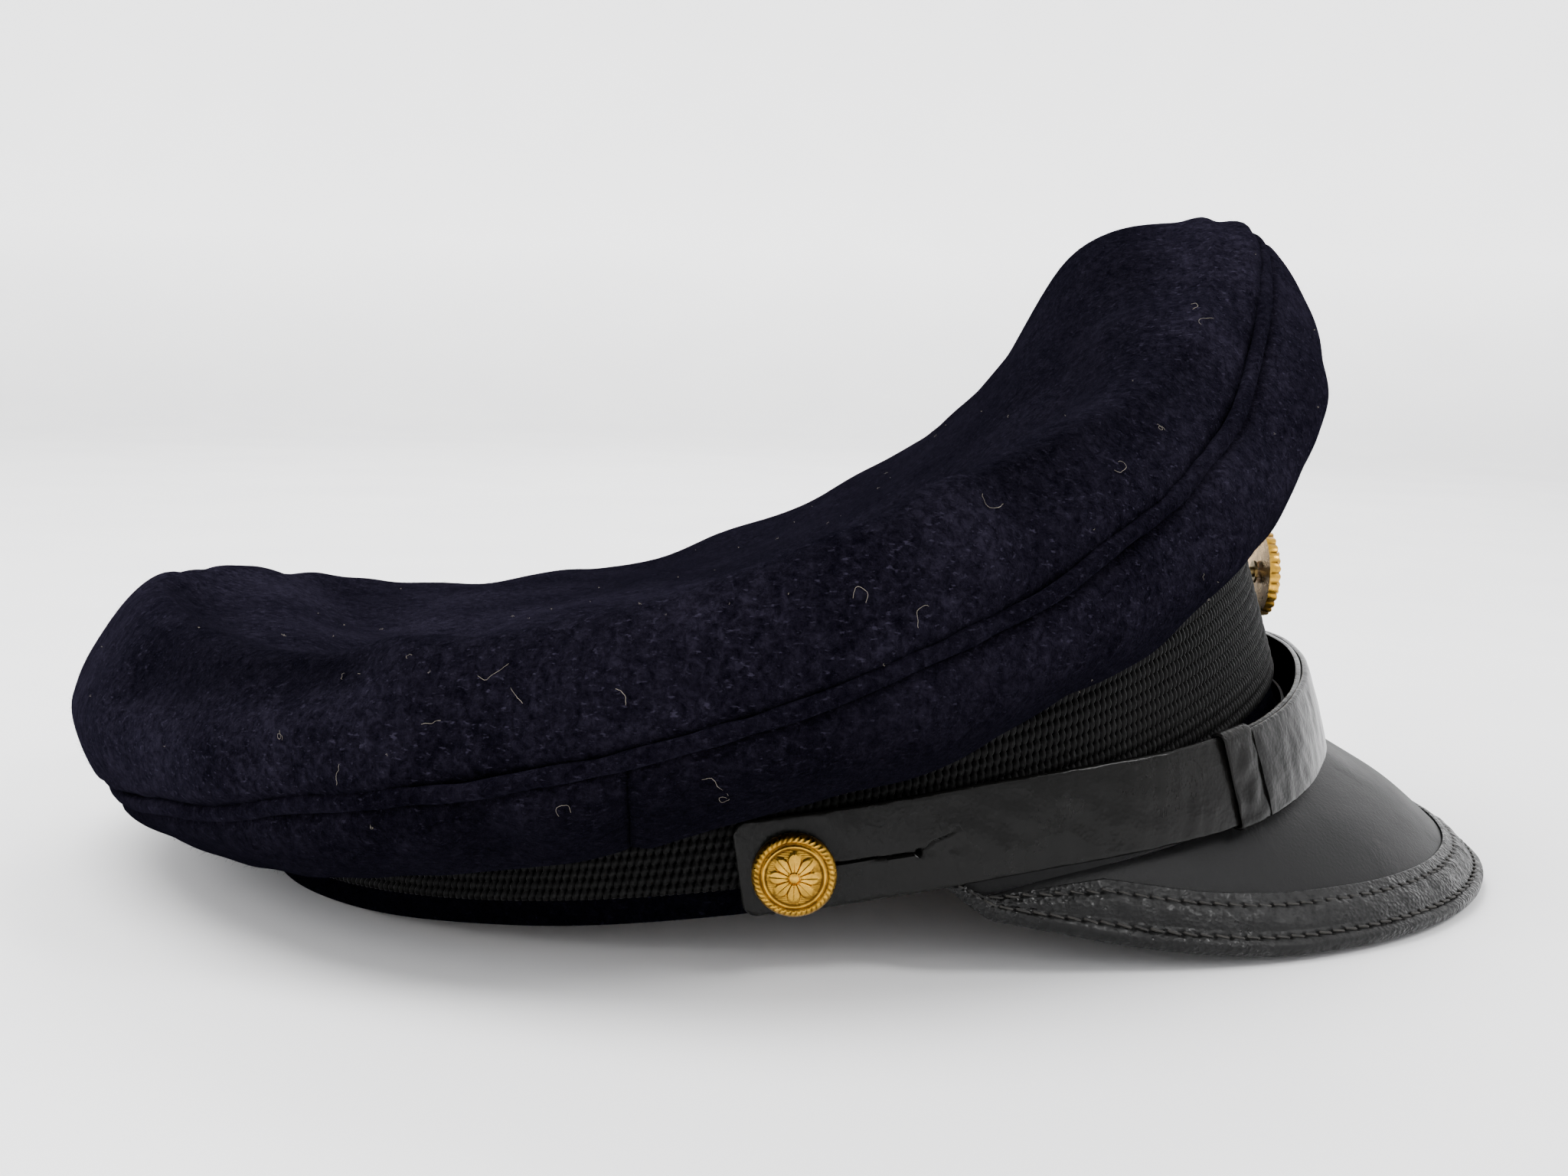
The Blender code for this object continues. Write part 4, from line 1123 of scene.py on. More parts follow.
def build_visor(cover_paint, board_paint, under_paint):
    """The visor's three layers and the seam allowance of its cover, turned up on the band."""
    def soft(flat):
        return soft_noise(flat, 26 * MM) * 0.10 * MM

    def smooth(flat):
        return 0.0

    visor_layer("visor_top", "visor_cover", cover_paint, "visor_leather", 420, 70,
                0.0, 0.5 * MM, soft)
    visor_layer("visor_board", "visor_core", board_paint, "buckram", 160, 24,
                0.6 * MM, 2.6 * MM, smooth)
    visor_layer("visor_under", "visor_lining", under_paint, "sweat_leather", 160, 24,
                2.7 * MM, 3.1 * MM, smooth)

    sides = np.linspace(-VISOR_LIMIT, VISOR_LIMIT, 320)[:, None]
    turns = sides * VISOR_ROOT_ANGLE
    rise = np.linspace(0, 1, 8)[None, :, None]
    length = visor_length(sides)
    foot = visor_grid(sides, length, thinned(length, 0 * length))
    head = band_point(turns, 0.4 * MM, FLANGE_HEIGHT)
    outer = foot + (head - foot) * rise
    inner = outer - (band_point(turns, 0.5 * MM, 0) - band_point(turns, 0, 0))
    piece = make_shell("visor_flange", outer, inner, cover_paint, "cap", "visor_leather")


def binding_section():
    """A closed loop round the visor's edge: distances inwards and depths below its top in metres,
    and how many of the loop's points are outside. It runs from the binding's upper raw edge round
    the nose to the lower one, and back inside."""
    leaf = np.concatenate([np.linspace(10.0, 9.55, 4), np.linspace(9.4, 0.0, 46)]) * MM
    rise = 0.72 + 0.50 * np.sin(np.pi * clamp((leaf / MM - 2.7) / 5.6)) ** 0.7
    rise = rise + 0.35 * clamp((2.5 - leaf / MM) / 2.5)
    rise[0] -= 0.42
    rise[1] -= 0.16
    rise[2] -= 0.04
    turn = np.radians(np.linspace(0, 180, 15))[1:-1]
    nose = (-(0.1 + 1.25 * np.sin(turn)) * MM, (1.40 - 2.47 * np.cos(turn)) * MM)
    under = np.linspace(0.0, 8.5, 18) * MM
    under_depth = (3.97 - 0.05 * (under / MM / 8.5)) * MM
    tucked = -rise[::-3] * MM * 0.2 - 0.03 * MM
    outer_line = np.concatenate([leaf, nose[0], under])
    outer_deep = np.concatenate([-rise * MM, nose[1], under_depth])
    wrap_line = np.concatenate([under[::-2], [-0.5 * MM, -0.5 * MM], leaf[::-3]])
    wrap_deep = np.concatenate([under_depth[::-2] - 0.6 * MM, [2.6 * MM, 0.6 * MM], tucked])
    line = np.concatenate([outer_line, wrap_line])
    return line[None, :], np.concatenate([outer_deep, wrap_deep])[None, :], len(outer_line)


def build_binding(paint):
    limit = VISOR_LIMIT + BINDING_PAST_END
    sides, _ = edge_stations(0.0, BINDING_STEP, -limit, limit)
    sides = sides[:, None]
    squeeze = binding_share(sides)
    line, deep, faced = binding_section()
    deep = deep + 0 * sides
    line = np.where(line > 0, line * squeeze, line)
    flat = visor_grid(sides, line, thinned(line, deep))
    shown = (np.arange(line.shape[1]) < faced)[None, :]
    pucker = soft_noise(flat, 5.5 * MM)
    pucker = pucker * hump(line / squeeze - 5.5 * MM, 3.2 * MM)
    deep -= shown * (pucker * 0.09 * MM + soft_noise(flat, 16 * MM) * 0.08 * MM)
    ends = []
    for row in STITCH_ROWS:
        last = limit - STITCH_END_GAP
        stations, stitches = edge_stations(row, STITCH_PITCH, -last, last)
        along = np.interp(sides[:, 0], stations, np.arange(stitches + 1))[:, None]
        near = hump(line / squeeze - row, 0.5 * MM) * shown * (deep < 0)
        dip = 0.16 + 0.45 * (0.5 + 0.5 * np.cos(along * math.tau)) ** 5
        deep += near * dip * MM
        middle = 0.5 * (stations[:-1] + stations[1:])
        half = 0.5 * (stations[1:] - stations[:-1]) * 0.66
        pair = []
        for way in (-1, 1):
            across = (row + way * STITCH_SKEW) * binding_share(middle)
            depth = thinned(across, STITCH_DEPTH + 0 * across)
            pair.append(visor_grid(middle + way * half, across, depth))
        ends += list(np.stack(pair, 1))
    grid = visor_grid(sides, line, thinned(line, deep))
    rows, columns = grid.shape[:2]
    faces = grid_faces(rows, columns, False, True)
    faces.append(list(range(columns)))
    faces.append([(rows - 1) * columns + j for j in reversed(range(columns))])
    piece = make_piece("visor_edge_binding", grid, faces, paint, "cap", "visor_leather",
                       ["visor_binding"])
    add_stitches("visor_stitches", ends, STITCH_RADIUS, thread, "cap", "visor_leather")


# ------------------------------------------------------------ chin strap

def strap_section(width, thick):
    """A closed loop round the strap: offsets outwards and upwards in metres."""
    edge = STRAP_EDGE
    middle = np.concatenate([np.linspace(0, 0.42, 14)[:-1], np.linspace(0.42, 0.58, 13),
                             np.linspace(0.58, 1, 14)[1:]])
    face = [(thick, edge + (width - 2 * edge) * v) for v in middle]
    turns = np.radians(np.linspace(0, 180, 9))[1:-1]
    top = [(thick / 2 + thick / 2 * math.cos(t), width - edge + edge * math.sin(t)) for t in turns]
    back = [(0.0, edge + (width - 2 * edge) * v) for v in np.linspace(1, 0, 12)]
    low = [(thick / 2 - thick / 2 * math.cos(t), edge - edge * math.sin(t)) for t in turns]
    return np.array(face + top + back + low), len(face)


def strap_half(name, node, material, start, end, lift, marks=(), butted=False):
    half, middle = STRAP_THICKNESS / 2, STRAP_WIDTH / 2
    angles = np.linspace(start, end, STRAP_STEPS)
    run = line_run(strap_point(angles, half, STRAP_MIDDLE_UP))
    even = np.linspace(0, run[-1], STRAP_STEPS)
    even = STRAP_TRIM + (run[-1] - 2 * STRAP_TRIM) * even / run[-1]
    angles = np.interp(even, run, angles)
    from_end = even if butted else np.minimum(even, run[-1] - even)
    section, faced = strap_section(STRAP_WIDTH, STRAP_THICKNESS)
    corner = STRAP_CORNER
    inside = np.clip(corner - from_end, 0, corner)
    trim = corner - np.sqrt(np.maximum(corner ** 2 - inside ** 2, 0))
    up = middle + (section[None, :, 1] - middle) * (1 - 2 * trim / STRAP_WIDTH)[:, None]
    near_end = np.clip(STRAP_EDGE - from_end, 0, STRAP_EDGE) / STRAP_EDGE
    thin = np.sqrt(np.clip(1 - near_end ** 2, 0.05, 1))
    out = half + (section[None, :, 0] - half) * thin[:, None]
    dome = STRAP_DOME * (1 - (2 * up / STRAP_WIDTH - 1) ** 2)
    outer = np.arange(len(section)) < faced
    out = out + dome * outer[None, :]
    flat = strap_point(angles[:, None], out + lift(angles)[:, None], up)
    wave = soft_noise(flat, 22 * MM) * 0.10 * MM
    ripple = soft_noise(flat, 4.5 * MM) * 0.035 * MM * outer
    hollow = np.zeros_like(out)
    place = np.stack([even[:, None] + 0 * up, up], -1)
    for width, depth, *path in marks:
        cut = np.exp(-(line_gap(place, path) / (width * MM)) ** 4) * outer[None, :]
        out = out - cut * depth * MM
        hollow = np.maximum(hollow, cut * min(1.0, depth))
    grid = strap_point(angles[:, None], out + lift(angles)[:, None] + wave + ripple, up)
    faces = grid_faces(STRAP_STEPS, len(section), False, True, 0, True)
    faces.append(list(reversed(range(len(section)))))
    faces.append([(STRAP_STEPS - 1) * len(section) + j for j in range(len(section))])
    piece = make_piece(name, grid, faces, material, "chin_strap", "patent", [node])
    # hollow marks the cuts, which patent_paint paints darker as painted shade.
    add_attribute(piece, "hollow", hollow)
    add_attribute(piece, "flesh", (section[None, :, 0] < 0.1 * MM) + 0 * out)


def keeper_loop(name, node, material, side):
    """A flat loop round the strap, swept along a rounded rectangle of offsets out and up."""
    low = 0.0 if side > 0 else STRAP_THICKNESS + STRAP_LAYER_GAP
    near = KEEPER_CORNER - KEEPER_GAP
    far = STRAP_THICKNESS + KEEPER_ROOM + KEEPER_GAP - KEEPER_CORNER
    top = STRAP_WIDTH + KEEPER_GAP - KEEPER_CORNER
    centres = np.array(((far, near), (far, top), (near, top), (near, near)))
    spots, normals = [], []
    for k, steps in enumerate((26, 4, 26, 4)):
        centre, reach = centres[k], centres[(k + 1) % 4] - centres[k]
        for step in range(7):
            angle = math.radians(90 * k - 90 + 15 * step)
            normal = (math.cos(angle), math.sin(angle))
            spots.append(centre)
            normals.append(normal)
        for step in range(1, steps):
            spots.append(centre + reach * (step / steps))
            normals.append(normal)
    spots, normals = np.array(spots), np.array(normals)
    bend = KEEPER_WALL / 2
    flat = KEEPER_WIDTH / 2 - bend
    turns = np.radians(np.linspace(90, -90, 9))[1:-1]
    section = [(x, KEEPER_WALL) for x in np.linspace(-flat, flat, 16)]
    section += [(flat + bend * math.cos(t), bend + bend * math.sin(t)) for t in turns]
    section += [(x, 0.0) for x in np.linspace(flat, -flat, 8)]
    section += [(-flat - bend * math.cos(t), bend + bend * math.sin(t)) for t in turns[::-1]]
    section = np.array(section)
    height = KEEPER_CORNER + section[None, :, 1] * KEEPER_PRESSED
    out = spots[:, None, 0] + normals[:, None, 0] * height
    up = spots[:, None, 1] + normals[:, None, 1] * height
    angle = side * KEEPER_ANGLE + np.degrees(section[None, :, 0] / BAND_END) * side + 0 * out
    out = out + low
    flat = strap_point(angle, out, up)
    puff = soft_noise(flat, 5 * MM) * 0.10 * MM * (section[None, :, 1] > 0.4 * MM)
    out = out + normals[:, None, 0] * puff
    grid = strap_point(angle, out, up)
    faces = grid_faces(len(spots), len(section), True, True, 0, side > 0)
    make_piece(name, grid, faces, material, "chin_strap", "patent", [node], 60)


def build_strap(material):
    second = STRAP_THICKNESS + 0.05 * MM

    def outer_lift(angle):
        share = clamp((-angle - STRAP_OVERLAP_ANGLE - 10) / 22)
        return second * (1 - eased(share))

    strap_half("strap_right", "chin_strap_right", material, STRAP_END_ANGLE, -STRAP_OVERLAP_ANGLE,
               lambda a: 0 * a, STRAP_MARKS)
    butt = KEEPER_ANGLE - math.degrees(KEEPER_WIDTH / 2 / BAND_END) + 0.15
    strap_half("strap_left", "chin_strap_left", material, -STRAP_END_ANGLE, butt, outer_lift,
               butted=True)
    keeper_loop("strap_keeper_right", "keeper_right", material, 1)
    keeper_loop("strap_keeper_left", "keeper_left", material, -1)


STRAP_MARKS = (
    (0.19, 0.8, (10, 7.4), (20, 7.2), (30.4, 6.8)),
    (0.62, 1.0, (30.4, 6.8), (30.4, 6.8)),
    (0.14, 0.25, (31, 7.0), (33, 8.3), (36, 8.9), (38, 10.1)),
    (0.14, 0.2, (31, 6.6), (34, 6.1), (36.5, 6.4)),
)


# ------------------------------------------------------------ buttons and badge

def turned_relief(name, node, material, body, centre, axis_side, profile, relief):
    """A turned piece about the X axis, with relief(radius, turn) added to its faces marked 1."""
    turns = (np.arange(BUTTON_STEPS) * math.tau / BUTTON_STEPS)[:, None]
    profile = np.array(profile)
    radius = profile[None, :, 0] + 0 * turns
    extra, hollow = relief(radius, turns + 0 * radius)
    height = profile[None, :, 1] + extra * profile[None, :, 2]
    y, z = radius * np.sin(turns), radius * np.cos(turns)
    grid = np.stack([centre[0] + axis_side * height, centre[1] + y, centre[2] + z], -1)
    rows, columns = grid.shape[:2]
    faces = grid_faces(rows, columns, True, False, 0, axis_side < 0)
    points = np.concatenate([grid.reshape(-1, 3), [grid[:, 0].mean(0), grid[:, -1].mean(0)]])
    count = rows * columns
    for i in range(rows):
        k = (i + 1) % rows
        a = (count, i * columns, k * columns)
        b = (count + 1, (k + 1) * columns - 1, (i + 1) * columns - 1)
        faces += [a[::-1], b[::-1]] if axis_side < 0 else [a, b]
    piece = make_piece(name, points, faces, material, body, "gilt", [node], 35, flip=True)
    add_attribute(piece, "hollow", hollow * profile[None, :, 2])


def petal_relief(radius, turn, reach, petals):
    """Height in millimetres of a plain rosette, and how deep each spot is in a hollow."""
    share = radius / reach
    lobe = np.abs(np.cos(turn * petals / 2)) ** 0.6
    outline = clamp((0.62 + 0.38 * lobe - share) / 0.14)
    rib = hump(np.sin(turn * petals / 2), 0.10) * clamp(share / 0.3)
    groove = hump(np.cos(turn * petals / 2), 0.16)
    petal = outline * (0.32 + 0.12 * rib - 0.22 * groove) * (share > 0.2)
    boss = clamp(1 - (share / 0.24) ** 2) ** 0.5
    dots = hump(share - 0.27, 0.035) * (0.5 + 0.5 * np.cos(turn * 16)) * 0.12
    return petal + 0.42 * boss + dots, clamp(1 - outline) * 0.5 + groove * outline * 0.6


def button_relief(radius, turn):
    mm = radius / MM
    height, hollow = petal_relief(radius, turn, 4.6 * MM, 8)
    ground = (mm < 4.9) * clamp(hollow)
    lines = 0.045 * np.sin(radius * np.cos(turn) / (0.36 * MM) * math.tau)
    lines = lines * (mm < 4.7) * (height < 0.05)
    ring = 0.26 * hump(mm - 5.15, 0.26)
    rope = np.exp(-((mm - 6.3) / 0.52) ** 4)
    twist = 0.5 + 0.5 * np.cos(turn * 44 + (mm - 6.3) * 3.2)
    rope_height = rope * (0.30 + 0.22 * twist ** 0.7)
    dark = ground * 0.55 + hump(mm - 4.75, 0.2) + hump(mm - 5.62, 0.16)
    dark = clamp(dark + rope * (1 - twist) ** 3 * 0.8)
    return (height * (mm < 4.9) + lines + ring + rope_height) * MM, dark


def build_buttons(material):
    face = abs(float(strap_point(90 - math.degrees(0.03), STRAP_THICKNESS, 8 * MM)[0])) + 0.9 * MM
    for label, side in (("button_right", -1), ("button_left", 1)):
        centre = (side * face, BUTTON_Y, BUTTON_Z)
        rim = BUTTON_RADIUS
        radii = np.concatenate([np.linspace(0.08, 6.9, 84), [7.0, 7.08]]) * MM
        dome = (1.15 + 1.55 * (1 - (radii / rim) ** 2)) * MM
        dome[-2:] -= np.array((0.08, 0.25)) * MM
        profile = [(r, h, 1.0) for r, h in zip(radii, dome)]
        edge = ((0, 0.7), (0, 0.15), (0.15, 0.0), (0.45, 0.0), (0.5, 0.5))
        profile += [(rim - inwards * MM, high * MM, 0) for inwards, high in edge]
        under = np.linspace(6.4, 0.1, 10) * MM
        profile += [(r, 0.6 * MM + 1.2 * MM * (1 - (r / rim) ** 2), 0) for r in under]
        turned_relief(f"{label}_dome", f"{label}_shell", material, label, centre, side, profile,
                      button_relief)


def badge_piece(name, node, front, back, material, hollow):
    poles = (front[:, -1].mean(0), back[:, -1].mean(0))
    piece = make_shell(name, front, back, material, "cap", "gilt", [node], 35,
                       wrap=True, poles=poles, flip=True)
    add_attribute(piece, "hollow", hollow)


def build_badge(material):
    turns = np.arange(BADGE_STEPS) * math.tau / BADGE_STEPS
    shares = np.concatenate([[1.0, 0.997], np.linspace(0.985, 0.01, 76)])[None, :]
    turn = turns[:, None] + 0 * shares
    ray = np.abs(np.sin(turn * BADGE_FLUTES / 2))
    ripple = (0.12 + 0.5 * ray ** 0.7) * clamp((shares - 0.46) / 0.1)
    step_ring = 0.5 * clamp((0.80 - shares) / 0.03) * (shares > 0.44)
    rope = 0.35 * hump(shares - 0.44, 0.035) * (0.7 + 0.3 * np.cos(turn * 48))
    plaque = 0.9 * clamp((0.40 - shares) / 0.05)
    high = 1.45 + 1.0 * (1 - shares ** 2) + ripple + step_ring + rope + plaque
    high[:, 0] = 0.5
    high[:, 1] -= 0.25
    radial = 1 + 0.012 * ray
    x = BADGE_HALF_WIDTH * shares * radial * np.sin(turn)
    z = BADGE_HALF_HEIGHT * shares * radial * np.cos(turn)
    front = np.stack([x, BADGE_BACK_Y - high * MM, BADGE_Z + z], -1)
    back = np.stack([x, BADGE_BACK_Y + 0 * high, BADGE_Z + z], -1)
    hollow = (1 - ray) ** 2 * (shares > 0.5) + hump(shares - 0.82, 0.02)
    badge_piece("badge_oval", "badge_plate", front, back, material, clamp(hollow))

    radii = np.linspace(0.05, 1.0, 40)[::-1][None, :]
    turn = turns[:, None] + 0 * radii
    height, dark = petal_relief(radii * 4.0 * MM, turn, 3.7 * MM, 8)
    y = BADGE_BACK_Y - (3.6 + 0.5 * (1 - radii ** 2) + height * 0.9) * MM
    x, z = ROSETTE_RADIUS * radii * np.sin(turn), ROSETTE_RADIUS * radii * np.cos(turn)
    front = np.stack([x, y, BADGE_Z + z], -1)
    back = front.copy()
    back[..., 1] = BADGE_BACK_Y - 3.35 * MM
    badge_piece("badge_rosette", "badge_boss", front, back, material, dark)


# ------------------------------------------------------------ nap, lint and linings

def add_fibres(name, roots, directions, radius, bend, material, slot):
    """Thin bent hairs: one at each root, as long as its direction."""
    segments, sides = 2, 3
    rng = np.random.default_rng(5)
    side = unit(np.cross(directions, rng.normal(size=(len(roots), 3))))
    other = unit(np.cross(directions, side))
    bends = bend * np.linalg.norm(directions, axis=1)
    rings = []
    for ring in range(segments + 1):
        share = ring / segments
        middle = roots + directions * share + side * (bends * share ** 2)[:, None]
        wide = radius * (1 - 0.55 * share)
        for k in range(sides):
            turn = math.tau * k / sides
            rings.append(middle + (side * math.cos(turn) + other * math.sin(turn)) * wide)
    per = (segments + 1) * sides
    points = np.stack(rings, 1).reshape(-1, 3)
    quads = np.array(grid_faces(segments + 1, sides, False, True))
    faces = (quads[None] + per * np.arange(len(roots))[:, None, None]).reshape(-1, 4).tolist()
    make_piece(name, points, faces, material, "cap", slot, smooth=180)


def scatter(grids, count, seed):
    """Random roots over grids, evenly by area, with normals and directions along the rows."""
    rng = np.random.default_rng(seed)
    roots, normals, alongs, sizes = [], [], [], []
    for grid, _ in grids:
        across = np.linalg.norm(grid[1:, :-1] - grid[:-1, :-1], axis=-1)
        along = np.linalg.norm(grid[:-1, 1:] - grid[:-1, :-1], axis=-1)
        sizes.append((across * along).ravel())
    total = sum(s.sum() for s in sizes)
    for (grid, normal), size in zip(grids, sizes):
        some = rng.choice(len(size), round(count * size.sum() / total), p=size / size.sum())
        i, j = np.divmod(some, grid.shape[1] - 1)
        a, b = rng.random(len(some))[:, None], rng.random(len(some))[:, None]
        place = grid[i, j] * (1 - a) * (1 - b) + grid[i + 1, j] * a * (1 - b)
        place += grid[i, j + 1] * (1 - a) * b + grid[i + 1, j + 1] * a * b
        roots.append(place)
        normals.append(normal[i, j])
        alongs.append(grid[i + 1, j] - grid[i, j])
    return np.concatenate(roots), np.concatenate(normals), unit(np.concatenate(alongs))


NAP_HAIRS = 60000
NAP_RADIUS = 0.018 * MM
NAP_SUNK = 0.1 * MM
NAP_BEND = 0.45
LINT_BITS = 150
LINT_RADIUS = 0.030 * MM
LINT_BIT_RADIUS = 0.026 * MM
LINT_UP = 0.25 * MM


def build_nap(material, grids):
    rng = np.random.default_rng(8)
    roots, normals, alongs = scatter(grids, NAP_HAIRS, 3)
    across = np.cross(normals, alongs)
    swirl = soft_noise(roots, 30 * MM) * 1.1 + rng.normal(size=len(roots)) * 0.9
    lay = alongs * np.cos(swirl)[:, None] + across * np.sin(swirl)[:, None]
    lift = 0.15 + 0.5 * rng.random(len(roots)) ** 2
    length = (0.4 + 0.9 * rng.random(len(roots)) ** 2) * MM
    directions = (lay + normals * lift[:, None]) * length[:, None]
    roots = roots - normals * NAP_SUNK
    add_fibres("crown_nap", roots, directions, NAP_RADIUS, NAP_BEND, material, "felt")


def build_lint(material, grids):
    """Pale curly hairs that cling to the felt."""
    rng = np.random.default_rng(21)
    roots, normals, alongs = scatter(grids, 4000, 9)
    spots = [np.argmin(np.linalg.norm(roots - np.array(s) * MM, axis=1)) for s in LINT_PLACES]
    spots += list(rng.choice(len(roots), LINT_BITS, replace=False))
    points, faces = [], []
    sides, steps = 4, 14
    for index, spot in enumerate(spots):
        named = index < len(LINT_PLACES)
        size = (3.5 + 4.5 * rng.random()) * MM if named else (0.4 + 1.4 * rng.random() ** 3) * MM
        radius = LINT_RADIUS if named else LINT_BIT_RADIUS
        normal, along = normals[spot], alongs[spot]
        across = np.cross(normal, along)
        heading = rng.random() * math.tau
        curl = rng.normal() * 0.30
        place = roots[spot] + normal * LINT_UP
        first = len(points)
        for step in range(steps):
            heading += curl + rng.normal() * 0.30
            ahead = along * math.cos(heading) + across * math.sin(heading)
            rise = 0.10 * MM * math.sin(step * 0.9 + index)
            place = place + ahead * size / steps + normal * rise
            other = np.cross(ahead, normal)
            for k in range(sides):
                turn = math.tau * k / sides
                points.append(place + (normal * math.cos(turn) + other * math.sin(turn)) * radius)
        faces += [[first + v for v in f] for f in grid_faces(steps, sides, False, True)]
    make_piece("lint", points, faces, material, "cap", "felt", smooth=180)


LINT_PLACES = (
    (-113, 28, 54), (-117, 60, 45), (-112, 33, 36), (-112, 12, 37), (-112, 10, 37),
    (-40, -70, 120), (-108, -8, 62), (-100, -30, 80), (-60, 90, 60), (-116, 45, 50),
    (-100, 70, 52), (-110, 52, 52), (-114, 86, 38), (-108, -22, 66), (-94, -56, 92),
    (-82, -70, 104), (-60, -80, 118), (-112, 74, 30),
)


LINING_INNER = 0.90
LINING_PLEATS = 48
LINING_GATHERS = 60


def build_linings(cloth, clear):
    """What is seen only from inside: a top disc, the sweat shield, a gathered side and the bow."""
    around = np.arange(360.0)
    centre = np.array((0, CROWN_CENTRE_Y, CROWN_CENTRE_Z))

    def disc(name, node, material, slot, low, rows, top, bottom, pleats):
        patch = CrownGrid(around, 1, rows, 0.0, LINING_INNER)
        shares = np.linspace(low, LINING_INNER, rows)[None, :]
        place = resampled(shares * patch.half[:, None], patch.distance, patch.points)
        normals = surface_normals(place, True)
        fade = (1 - (shares - low) / (LINING_INNER - low)) ** 2
        wave = pleats * MM * np.sin(np.radians(around) * LINING_PLEATS)[:, None] * fade
        outer = place - normals * (top + wave)[..., None]
        inner = place - normals * (bottom + wave)[..., None]
        piece = make_shell(name, outer, inner, material, "cap", slot, [node], wrap=True,
                           poles=(centre - UP * top, centre - UP * bottom))
        return inner

    lowest = disc("lining_disc", "lining_top", cloth, "satin", 0.42, 40, 3.2 * MM, 3.9 * MM, 0.25)
    disc("lining_shield", "sweat_shield", clear, "film", 0.72, 12, 4.7 * MM, 5.1 * MM, 0.0)
    height = band_height(around) - 2 * MM
    start = band_point(around, -4.4 * MM, height)
    end = lowest[:, 0] - UP * 0.5 * MM
    outward = outwards_from_band(start)
    sheets = []
    for extra in (0.0, 0.7 * MM):
        low = start - outward * extra
        high = end - UP * extra
        rows = []
        for share in np.linspace(0, 1, 20):
            swell = math.sin(math.pi * share)
            gather = swell * 0.5 * MM * np.sin(np.radians(around) * LINING_GATHERS)
            spot = low + (high - low) * share + UP * 1.5 * MM * swell
            rows.append(spot + outward * gather[:, None])
        sheets.append(np.stack(rows, 1))
    piece = make_shell("lining_gathers", *sheets, cloth, "cap", "satin", ["lining_side"],
                       wrap=True, flip=True)

    up = 17 * MM
    middle = band_point(180.0, SWEATBAND_OUT - 2.1 * MM - SWEATBAND_LEAN * up, up)
    across = np.linspace(-1, 1, 61)[:, None]
    along = np.linspace(-1, 1, 25)[None, :]
    half = (1.0 + 2.5 * np.abs(across) ** 0.8) * np.sqrt(clamp(1.02 - across ** 8))
    crease = 0.16 * np.cos(along * 9) * np.exp(-np.abs(across) * 2.2)
    puff = 0.45 * np.sqrt(clamp(1 - along ** 4)) * (0.4 + np.abs(across))
    puff = puff * (1 - across ** 6) + crease
    x, z = 7.5 * across + 0 * along, half * along
    front = middle + np.stack([x, -0.45 - puff, z], -1) * MM
    back = middle + np.stack([x, -0.12 + 0 * puff, z], -1) * MM
    make_shell("bow_loops", front, back, cloth, "cap", "satin", ["sweatband_bow"])
    knot = [(middle + np.array((0, -0.75, -0.7)) * MM, middle + np.array((0, -0.75, 0.7)) * MM)]
    add_stitches("bow_knot", knot, 0.95 * MM, cloth, "cap", "satin")


felt = felt_paint("felt_paint", (0.0013, 0.0011, 0.0023), (0.0100, 0.0087, 0.0146))
# The piping and the band strip are the same felt painted darker as painted shade: the piping at
# about two thirds to three quarters of its brightness, the band strip at about a fifth.
shaded_piping_felt = felt_paint("shaded_piping_paint", (0.0010, 0.0008, 0.0018), (0.0066, 0.0058, 0.0098))
shaded_strip_felt = felt_paint("shaded_band_felt_paint", (0.0003, 0.0003, 0.0006), (0.0018, 0.0017, 0.0034))
nap = plain_paint("nap_paint", (0.0040, 0.0037, 0.0070), (0.0135, 0.0122, 0.0195), 0.95, 0.0)
lint = plain_paint("lint_paint", (0.11, 0.095, 0.08), (0.25, 0.22, 0.18), 0.8)
thread = plain_paint("thread_paint", (0.010, 0.0095, 0.009), (0.030, 0.028, 0.025), 0.6)
braid = braid_paint()
patent = patent_paint("patent_paint", 0.22)
visor_skin = visor_paint()
binding_skin = binding_paint()
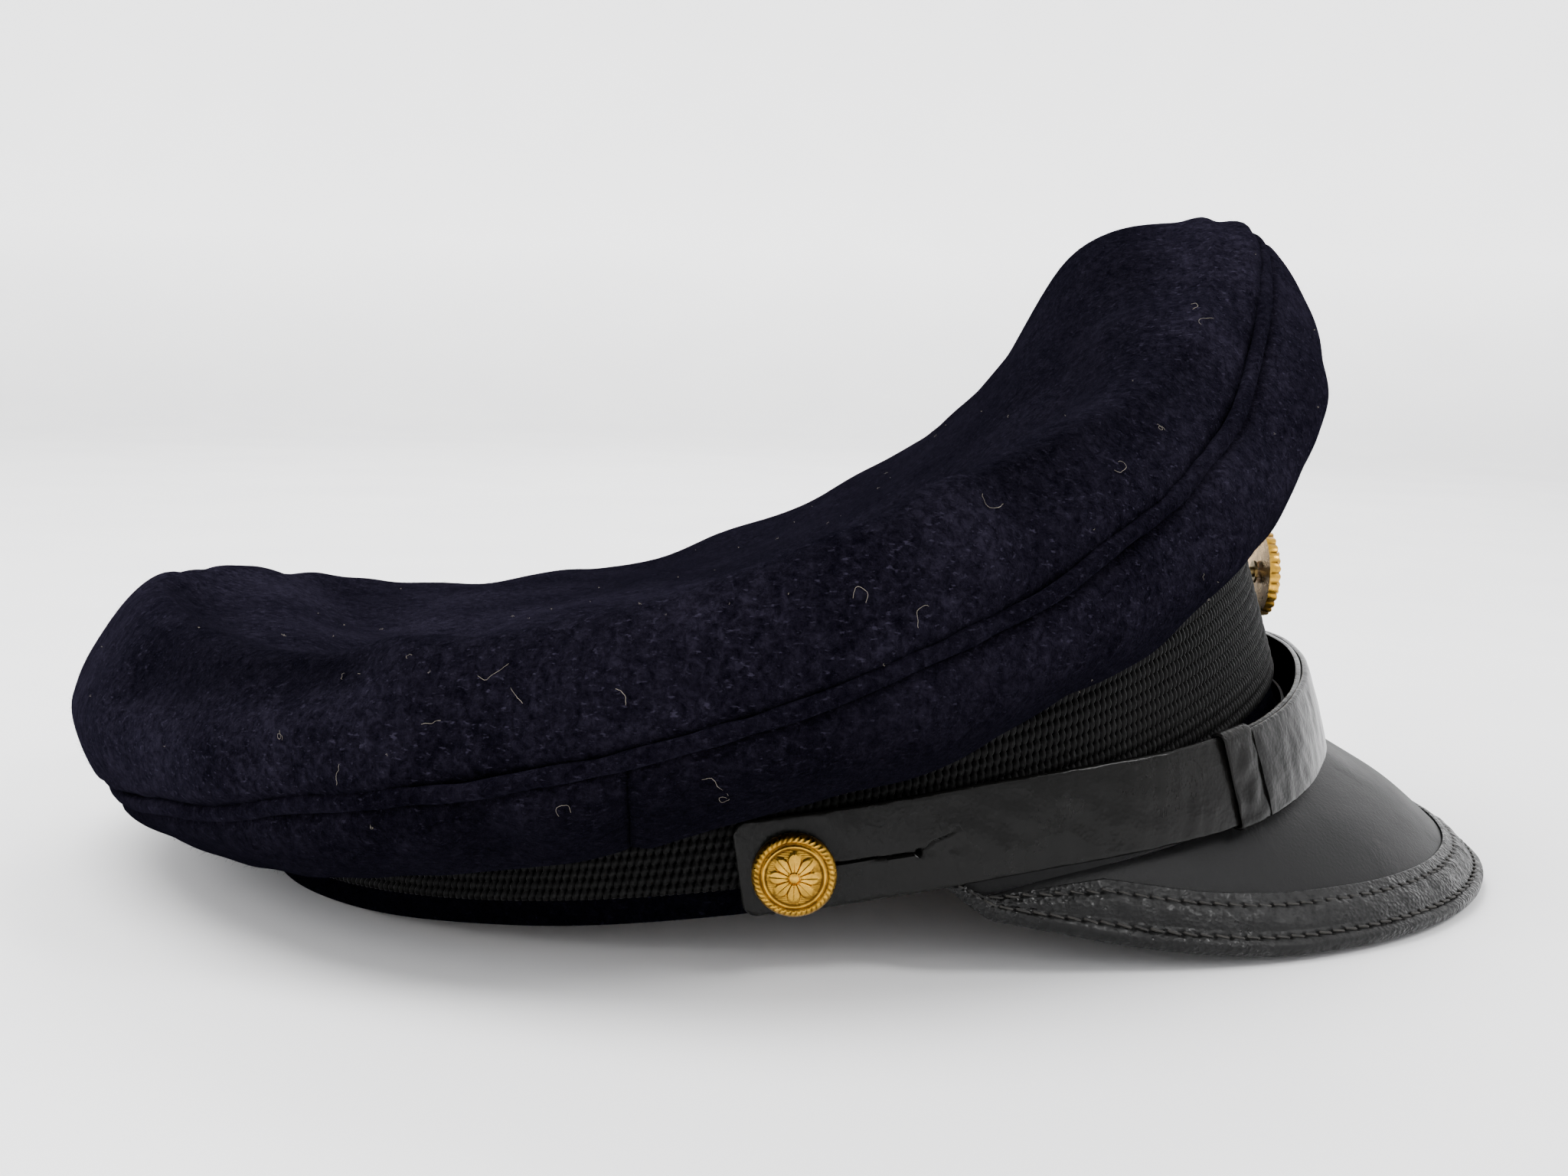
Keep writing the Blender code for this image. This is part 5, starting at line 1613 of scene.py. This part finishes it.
gilt = gilt_paint("gilt_paint", (0.56, 0.31, 0.035), (0.10, 0.045, 0.006))
brass = metal_paint("brass_paint", (0.62, 0.46, 0.20), 0.38)
steel = metal_paint("steel_paint", (0.52, 0.53, 0.55), 0.35)

# Each cloth or leather's dark and light colours, roughness, weave scale and depth.
CLOTHS = (
    ("sweat_leather", (0.12, 0.055, 0.026), (0.19, 0.095, 0.05), 0.5, 900.0, 0.0003),
    ("card", (0.30, 0.24, 0.17), (0.42, 0.35, 0.25), 0.9, 700.0, 0.0005),
    ("wadding", (0.55, 0.52, 0.46), (0.72, 0.69, 0.62), 1.0, 260.0, 0.0015),
    ("board", (0.004, 0.004, 0.004), (0.010, 0.010, 0.009), 0.9, 700.0, 0.0003),
    ("under_leather", (0.010, 0.006, 0.004), (0.018, 0.011, 0.008), 0.55, 900.0, 0.0002),
    ("satin", (0.030, 0.027, 0.030), (0.055, 0.050, 0.056), 0.42, 1400.0, 0.0002),
    ("film", (0.55, 0.50, 0.36), (0.68, 0.62, 0.46), 0.18, 60.0, 0.0004),
)
cloths = {name: cloth_paint(f"{name}_paint", *looks) for name, *looks in CLOTHS}

# The finish of each material slot in the record.
CARRIED = {
    "steel": steel, "brass": brass, "buckram": cloths["card"], "wadding": cloths["wadding"],
    "satin": cloths["satin"], "film": cloths["film"], "felt": felt, "braid": braid,
    "patent": patent, "visor_leather": visor_skin, "sweat_leather": cloths["sweat_leather"],
    "gilt": gilt,
}
for entry in frame["record"]["subparts"]:
    for place in frame["nodes"][entry["node"]].material_slots:
        place.material = CARRIED[entry["material_slot"]]

add_camera()
add_stage()
crown_grids = build_crown(felt)
build_welt(shaded_piping_felt)
build_band_cloth(shaded_strip_felt)
build_braid(braid)
build_sweatband(cloths["sweat_leather"])
build_visor(visor_skin, cloths["board"], cloths["under_leather"])
build_binding(binding_skin)
build_strap(patent)
build_buttons(gilt)
build_badge(gilt)
build_nap(nap, crown_grids)
build_lint(lint, crown_grids)
build_linings(cloths["satin"], cloths["film"])

rows = [[list(map(float, corner)) for corner in box] for box in (CAD_BOX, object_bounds())]
